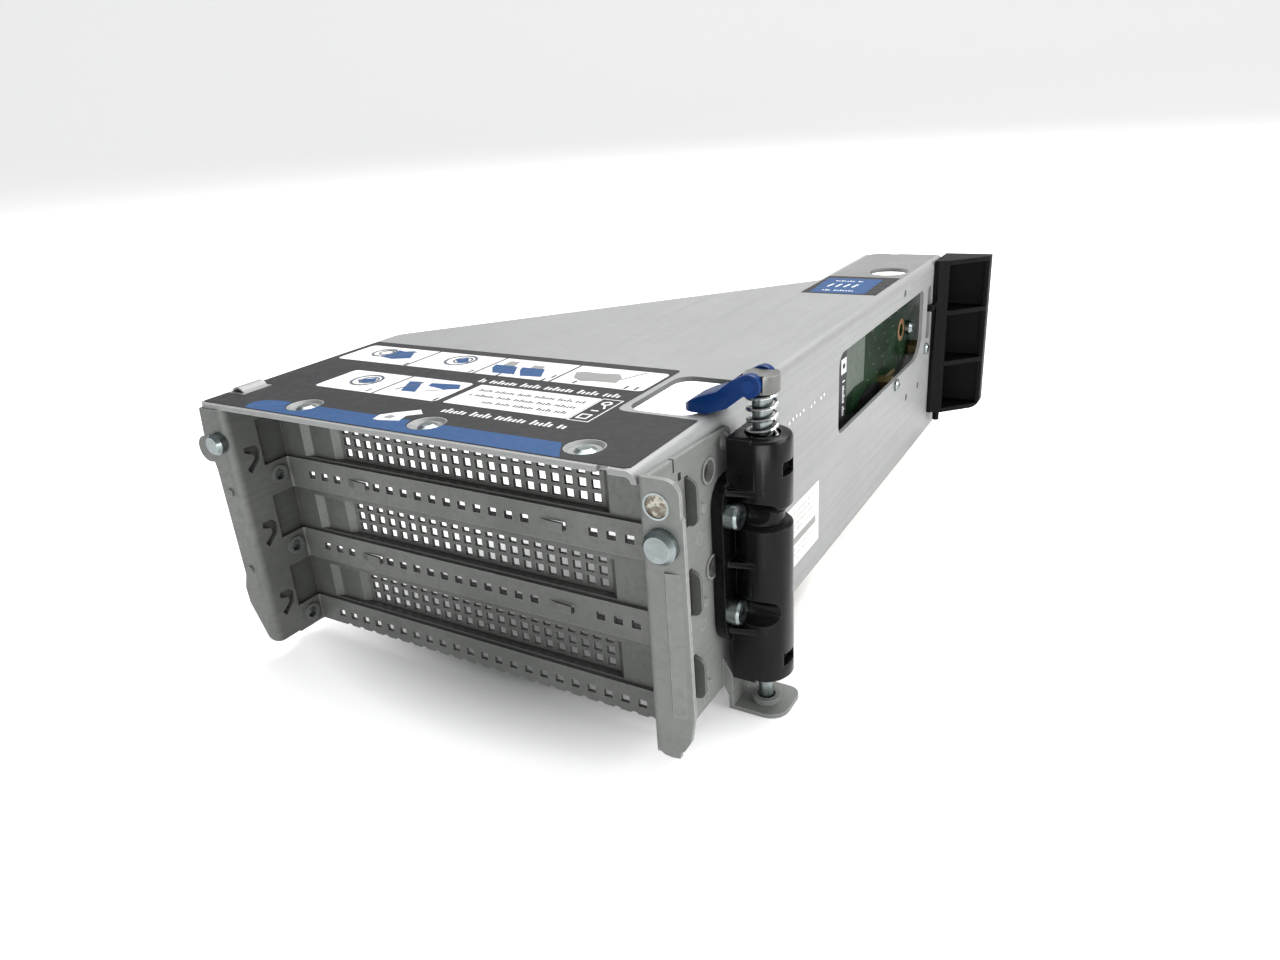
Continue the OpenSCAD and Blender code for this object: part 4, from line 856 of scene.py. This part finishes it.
class RISER_OT_board_trim(bpy.types.Operator):
    """Adds the board's plated ring, contact row, film and low parts behind the window"""

    bl_idname = "riser_cage.board_trim"
    bl_label = "Board trim"

    def execute(self, context):
        ring = bmesh.new()
        add_disc(ring, board_at(*BOARD_HOLE), PLATED_OUTER * MM, PLATED_INNER * MM,
                 PLATED_THICKNESS * MM, (1, 0, 0), 40)
        finish_piece(ring, "board_ring", "copper_ring", "cage")

        contacts = bmesh.new()
        start = (BOARD_LOW.y - CAGE_Y) / MM + FIRST_CONTACT
        foot = BOARD_LOW.z / MM
        for at, normal in ((board_at, OUT), (board_in_at, -OUT)):
            for step in range(CONTACTS):
                y = start + step
                if abs(y - start - KEY_SLOT) > KEY_HALF:
                    low = (y - CONTACT_HALF, foot + CONTACT_LOW)
                    high = (y + CONTACT_HALF, foot + CONTACT_HIGH)
                    add_bar(contacts, at, low, high, normal, 0.0, COATING * MM)
        finish_piece(contacts, "board_contacts", "contact_gold", "cage")

        patch = bmesh.new()
        add_outline(patch, board_at, SAGE_PATCH, OUT, 0.0, COATING * MM)
        finish_piece(patch, "board_patch", "board_sage", "cage")

        film = bmesh.new()
        add_outline(film, board_at, BOARD_FILM, OUT, 0.0, BOARD_FILM_THICKNESS * MM)
        finish_piece(film, "board_film", "label_black", "cage")

        marks = bmesh.new()
        add_bar(marks, board_at, *FILM_SQUARE, OUT, ON_BOARD_FILM)
        add_ticks(marks, board_upright_at, (37.6, 112.6), 49.4, 2.2, OUT, ON_BOARD_FILM, 0.8, 1)
        add_ticks(marks, board_at, (113.6, 32.6), 130.0, 1.1, OUT, ON_BOARD_FILM, 1.5, 4)
        finish_piece(marks, "board_film_marks", "print_white", "cage")
        block = bmesh.new()
        add_bar(block, board_at, *FILM_SPOT, OUT, ON_BOARD_MARK)
        finish_piece(block, "board_film_spot", "print_dark", "cage")

        tan = bmesh.new()
        add_bar(tan, board_at, *TAN_PART, OUT, 0.0, TAN_PART_THICKNESS * MM)
        finish_piece(tan, "board_part_tan", "bare_board", "cage")
        dark = bmesh.new()
        add_outline(dark, board_at, DARK_PART, OUT, 0.0, DARK_PART_THICKNESS * MM)
        finish_piece(dark, "board_part_dark", "socket_black", "cage")

        silk = bmesh.new()
        for step in range(SILK_MARKS):
            y = SILK_START[0] + SILK_STEP * step
            z = SILK_START[1] + SILK_HEIGHT * ((step * 7) % SILK_ROWS) / (SILK_ROWS - 1)
            if abs(y - BOARD_HOLE[0]) > HOLE_CLEAR[0] or abs(z - BOARD_HOLE[1]) > HOLE_CLEAR[1]:
                long, tall = SILK_SIZES[step % len(SILK_SIZES)]
                add_bar(silk, board_at, (y, z), (y + long, z + tall), OUT, 0.0,
                        SILK_THICKNESS * MM)
        finish_piece(silk, "board_silk", "board_sage", "cage")
        return {"FINISHED"}


# ---------- bosses, rim and stamped marks ----------

# An inset is how far within the surface a piece starts; the rim lies in front of the rivet.
BOSS_RADIUS, BOSS_THICKNESS, BOSS_INSET = 1.3 * MM, 0.14 * MM, 0.1 * MM
RIM_OUTER, RIM_INNER, RIM_THICKNESS, RIM_PROUD = 2.65 * MM, 2.3 * MM, 0.12 * MM, 0.36 * MM
SPECK_RADIUS, SPECK_THICKNESS, SPECK_INSET = 0.45 * MM, 0.16 * MM, 0.04 * MM
WALL_STAMPS = ((56.8, 54.6), (59.2, 54.9), (61.6, 55.0), (64.0, 54.6), (66.4, 54.9),
               (71.8, 54.2), (74.2, 54.5), (79.0, 54.2), (81.4, 54.5))


class RISER_OT_lever_bosses(bpy.types.Operator):
    """Closes the lever's eyes over the ends of the pivot pin"""

    bl_idname = "riser_cage.lever_bosses"
    bl_label = "Lever bosses"

    def execute(self, context):
        pin_low, pin_high = (Vector(corner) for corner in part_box("lever_pin"))
        lever_low, lever_high = (Vector(corner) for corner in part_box("lever"))
        bosses = bmesh.new()
        for y, toward in ((lever_low.y + BOSS_INSET, -1), (lever_high.y - BOSS_INSET, 1)):
            spot = Vector(((pin_low.x + pin_high.x) / 2, y, (pin_low.z + pin_high.z) / 2))
            add_disc(bosses, spot, BOSS_RADIUS, 0.0, BOSS_THICKNESS, (0, toward, 0), 24)
        finish_piece(bosses, "lever_bosses", "lever_blue", "handle")
        return {"FINISHED"}


class RISER_OT_rivet_rim(bpy.types.Operator):
    """Adds the bright rim round the rivet in the right flange"""

    bl_idname = "riser_cage.rivet_rim"
    bl_label = "Rivet rim"

    def execute(self, context):
        low, high = (Vector(corner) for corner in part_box("flange_rivet"))
        spot = Vector(((low.x + high.x) / 2, low.y - RIM_PROUD, (low.z + high.z) / 2))
        rim = bmesh.new()
        add_disc(rim, spot, RIM_OUTER, RIM_INNER, RIM_THICKNESS, (0, -1, 0), 40)
        finish_piece(rim, "rivet_rim", "screw_steel", "cage")
        return {"FINISHED"}


class RISER_OT_wall_stamps(bpy.types.Operator):
    """Raises the row of small stamped specks on the side wall"""

    bl_idname = "riser_cage.wall_stamps"
    bl_label = "Wall stamps"

    def execute(self, context):
        wall = SIDE_LOW.x - SPECK_INSET
        specks = bmesh.new()
        for y, z in WALL_STAMPS:
            spot = Vector((wall, CAGE_Y + y * MM, z * MM))
            add_disc(specks, spot, SPECK_RADIUS, 0.0, SPECK_THICKNESS, (1, 0, 0), 16)
        finish_piece(specks, "wall_stamps", "bright_speck", "cage")
        return {"FINISHED"}


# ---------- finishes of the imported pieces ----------
# Each soft piece: its node, body, slot and how many times the moulded edge its edges are.

OWN_FINISH = {"flange_rivet": "rivet_end"}
SOFT_PIECES = (
    ("latch_housing", "cage", "housing_black", 1.0),
    ("lever", "handle", "lever_blue", 2.4),
    ("screw_cap", "screw", "cap_steel", 0.8),
    ("end_baffle", "cage", "baffle_black", 0.9),
)


class RISER_OT_finishes(bpy.types.Operator):
    """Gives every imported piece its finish, and rounds the moulded and turned ones"""

    bl_idname = "riser_cage.finishes"
    bl_label = "Finishes"

    def execute(self, context):
        for part in frame["record"]["subparts"]:
            piece = frame["nodes"][part["node"]]
            piece.data.materials.clear()
            finish = OWN_FINISH.get(part["node"], part["material_slot"])
            piece.data.materials.append(FINISHES[finish])
        for node, body, slot, wider in SOFT_PIECES:
            piece = soften(node, context.scene.riser_cage.edge_round * wider)
            piece.data.materials.append(FINISHES[slot])
            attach(piece, body)
            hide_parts(node)
        return {"FINISHED"}


# ---------- stage ----------

# Floor and backdrop in metres.
FLOOR_WIDE, FLOOR_NEAR, FLOOR_FAR = 14.0, -5.0, 2.6
BACKDROP_TALL, BACKDROP_BEND = 6.0, 1.6
# The floor's glow grows from GLOW_IN_PAINTED_SHADOW to GLOW_FAR between two distances from its
# centre, which are measured after the stretch; the faint glow by the cage is a painted shadow round
# it.
PAINTED_SHADOW_STRETCH = (17.0, 26.0, 17.0)
PAINTED_SHADOW_CENTRE = (0.0, -1.6, 0.0)
GLOW_IN_PAINTED_SHADOW, GLOW_FAR = 0.02, 0.66
GLOW_START, GLOW_END = 0.85, 1.5
GLOW_REFLECTED = 0.28
SKY_COLOUR = (0.95, 0.97, 1.0, 1.0)
SKY_LIGHT, SKY_SEEN = 0.24, 0.72
# The camera's place in metres, its turn in degrees and its sensor's width in millimetres.
CAMERA_PLACE = (0.133985, -0.238185, 0.130326)
CAMERA_TURN = (67.24776, 3.77049, 30.25511)
CAMERA_SENSOR = 36.0
CAMERA_CLIP = 0.01


def floor_material(colour):
    """Pale matt floor with a glow that is faint by the cage and grows with distance from it, so
    that a painted shadow lies round the cage.
    """
    material, tree, shader = new_material("floor", colour, 0.75)
    shader.inputs["Specular IOR Level"].default_value = 0.2
    rays = tree.nodes.new("ShaderNodeLightPath")
    away = tree.nodes.new("ShaderNodeVectorMath")
    away.operation = "DISTANCE"
    tree.links.new(object_place(tree, PAINTED_SHADOW_STRETCH), away.inputs[0])
    away.inputs[1].default_value = PAINTED_SHADOW_CENTRE
    # painted shadow: the glow the camera sees is faint near the cage
    glow_outside_painted_shadow = between(tree, away.outputs["Value"], GLOW_IN_PAINTED_SHADOW, GLOW_FAR, GLOW_START, GLOW_END)
    shown = tree.nodes.new("ShaderNodeMath")
    shown.operation = "MULTIPLY"
    tree.links.new(rays.outputs["Is Camera Ray"], shown.inputs[0])
    tree.links.new(glow_outside_painted_shadow, shown.inputs[1])
    strength = tree.nodes.new("ShaderNodeMath")
    strength.operation = "MULTIPLY_ADD"
    strength.inputs[1].default_value = GLOW_REFLECTED
    tree.links.new(rays.outputs["Is Glossy Ray"], strength.inputs[0])
    tree.links.new(shown.outputs["Value"], strength.inputs[2])
    glow = tree.nodes.new("ShaderNodeEmission")
    tree.links.new(strength.outputs["Value"], glow.inputs["Strength"])
    both = tree.nodes.new("ShaderNodeAddShader")
    tree.links.new(shader.outputs["BSDF"], both.inputs[0])
    tree.links.new(glow.outputs["Emission"], both.inputs[1])
    tree.links.new(both.outputs["Shader"], tree.nodes["Material Output"].inputs["Surface"])
    return material


def add_floor(colour):
    """One sheet that lies as the floor and bends up into the backdrop."""
    bm = bmesh.new()
    left = bm.verts.new((-FLOOR_WIDE, FLOOR_FAR, 0.0))
    right = bm.verts.new((FLOOR_WIDE, FLOOR_FAR, 0.0))
    edge = bm.edges.new((left, right))
    curve = bmesh.ops.spin(bm, geom=[left, right, edge], cent=(0, FLOOR_FAR, BACKDROP_BEND),
                           axis=(1, 0, 0), angle=math.pi / 2, steps=24)
    rim = [g for g in curve["geom_last"] if isinstance(g, bmesh.types.BMEdge)]
    for start, step in ((rim, (0, 0, BACKDROP_TALL)), ([edge], (0, FLOOR_NEAR - FLOOR_FAR, 0))):
        moved = bmesh.ops.extrude_edge_only(bm, edges=start)
        verts = [g for g in moved["geom"] if isinstance(g, bmesh.types.BMVert)]
        bmesh.ops.translate(bm, verts=verts, vec=step)
    bmesh.ops.recalc_face_normals(bm, faces=bm.faces)
    floor = show(bm, "floor", smooth=True)
    floor.data.materials.append(floor_material(colour))
    return floor


def add_sky():
    """Even light from all round, brighter where the camera looks straight at it."""
    world = bpy.data.worlds.new("studio")
    bpy.context.scene.world = world
    world.use_nodes = True
    tree = world.node_tree
    back = tree.nodes["Background"]
    back.inputs["Color"].default_value = SKY_COLOUR
    rays = tree.nodes.new("ShaderNodeLightPath")
    shown = tree.nodes.new("ShaderNodeMath")
    shown.operation = "MULTIPLY_ADD"
    shown.inputs[1].default_value = SKY_SEEN
    shown.inputs[2].default_value = SKY_LIGHT
    tree.links.new(rays.outputs["Is Camera Ray"], shown.inputs[0])
    tree.links.new(shown.outputs["Value"], back.inputs["Strength"])


def add_lamp(name, place, target, size, power):
    """A rectangular lamp of size (width, height) that shines at target, its power in watts."""
    data = bpy.data.lights.new(name, "AREA")
    data.shape = "RECTANGLE"
    data.size, data.size_y = size
    data.energy = power
    lamp = bpy.data.objects.new(name, data)
    lamp.location = place
    lamp.rotation_euler = (Vector(target) - Vector(place)).to_track_quat("-Z", "Y").to_euler()
    bpy.context.scene.collection.objects.link(lamp)
    return lamp


def add_camera(lens):
    """The scene's camera, in front of the cage, above it and to its right."""
    data = bpy.data.cameras.new("camera")
    data.lens = lens
    data.sensor_width = CAMERA_SENSOR
    data.clip_start = CAMERA_CLIP
    camera = bpy.data.objects.new("camera", data)
    turn = Euler([math.radians(angle) for angle in CAMERA_TURN]).to_matrix().to_4x4()
    camera.matrix_world = Matrix.Translation(CAMERA_PLACE) @ turn
    bpy.context.scene.collection.objects.link(camera)
    bpy.context.scene.camera = camera


class RISER_OT_stage(bpy.types.Operator):
    """Sets the pale floor and backdrop, soft lamps and the camera"""

    bl_idname = "riser_cage.stage"
    bl_label = "Stage"

    def execute(self, context):
        settings = context.scene.riser_cage
        floor = add_floor(tuple(settings.floor_colour))
        add_sky()

        aim = (0.0, 0.0, 0.03)
        add_lamp("lamp_over", (-0.1, 0.55, 1.3), aim, (1.4, 1.4), 28.0)
        add_lamp("lamp_right", (1.2, 0.15, 0.45), aim, (0.9, 0.6), 11.0)
        add_lamp("lamp_front", (0.6, -1.3, 0.13), aim, (1.1, 0.25), 9.0)

        add_camera(settings.lens)
        context.scene.view_settings.view_transform = "Standard"
        return {"FINISHED"}


OPERATORS = (
    RISER_OT_finishes,
    RISER_OT_film_prints,
    RISER_OT_film_icons,
    RISER_OT_film_stripe,
    RISER_OT_rear_prints,
    RISER_OT_side_prints,
    RISER_OT_board_trim,
    RISER_OT_wall_stamps,
    RISER_OT_lever_bosses,
    RISER_OT_rivet_rim,
    RISER_OT_stage,
)


class RISER_PT_panel(bpy.types.Panel):
    """Lists the settings and steps of the riser cage"""

    bl_idname = "RISER_PT_panel"
    bl_label = "Riser Cage"
    bl_space_type = "VIEW_3D"
    bl_region_type = "UI"
    bl_category = "Riser Cage"

    def draw(self, context):
        settings = context.scene.riser_cage
        for name in ("print_radius", "divider", "edge_round", "floor_colour", "lens"):
            self.layout.prop(settings, name)
        for operator in OPERATORS:
            self.layout.operator(operator.bl_idname)


CLASSES = (RISER_PG_cage, *OPERATORS, RISER_PT_panel)


def register():
    """Adds the settings, the steps and the panel to Blender."""
    for cls in CLASSES:
        bpy.utils.register_class(cls)
    bpy.types.Scene.riser_cage = bpy.props.PointerProperty(type=RISER_PG_cage)


def unregister():
    """Takes them out again."""
    del bpy.types.Scene.riser_cage
    for cls in reversed(CLASSES):
        bpy.utils.unregister_class(cls)


def main():
    """Runs every step in order."""
    register()
    for operator in OPERATORS:
        group, name = operator.bl_idname.split(".")
        getattr(getattr(bpy.ops, group), name)()


if __name__ == "__main__":
    main()
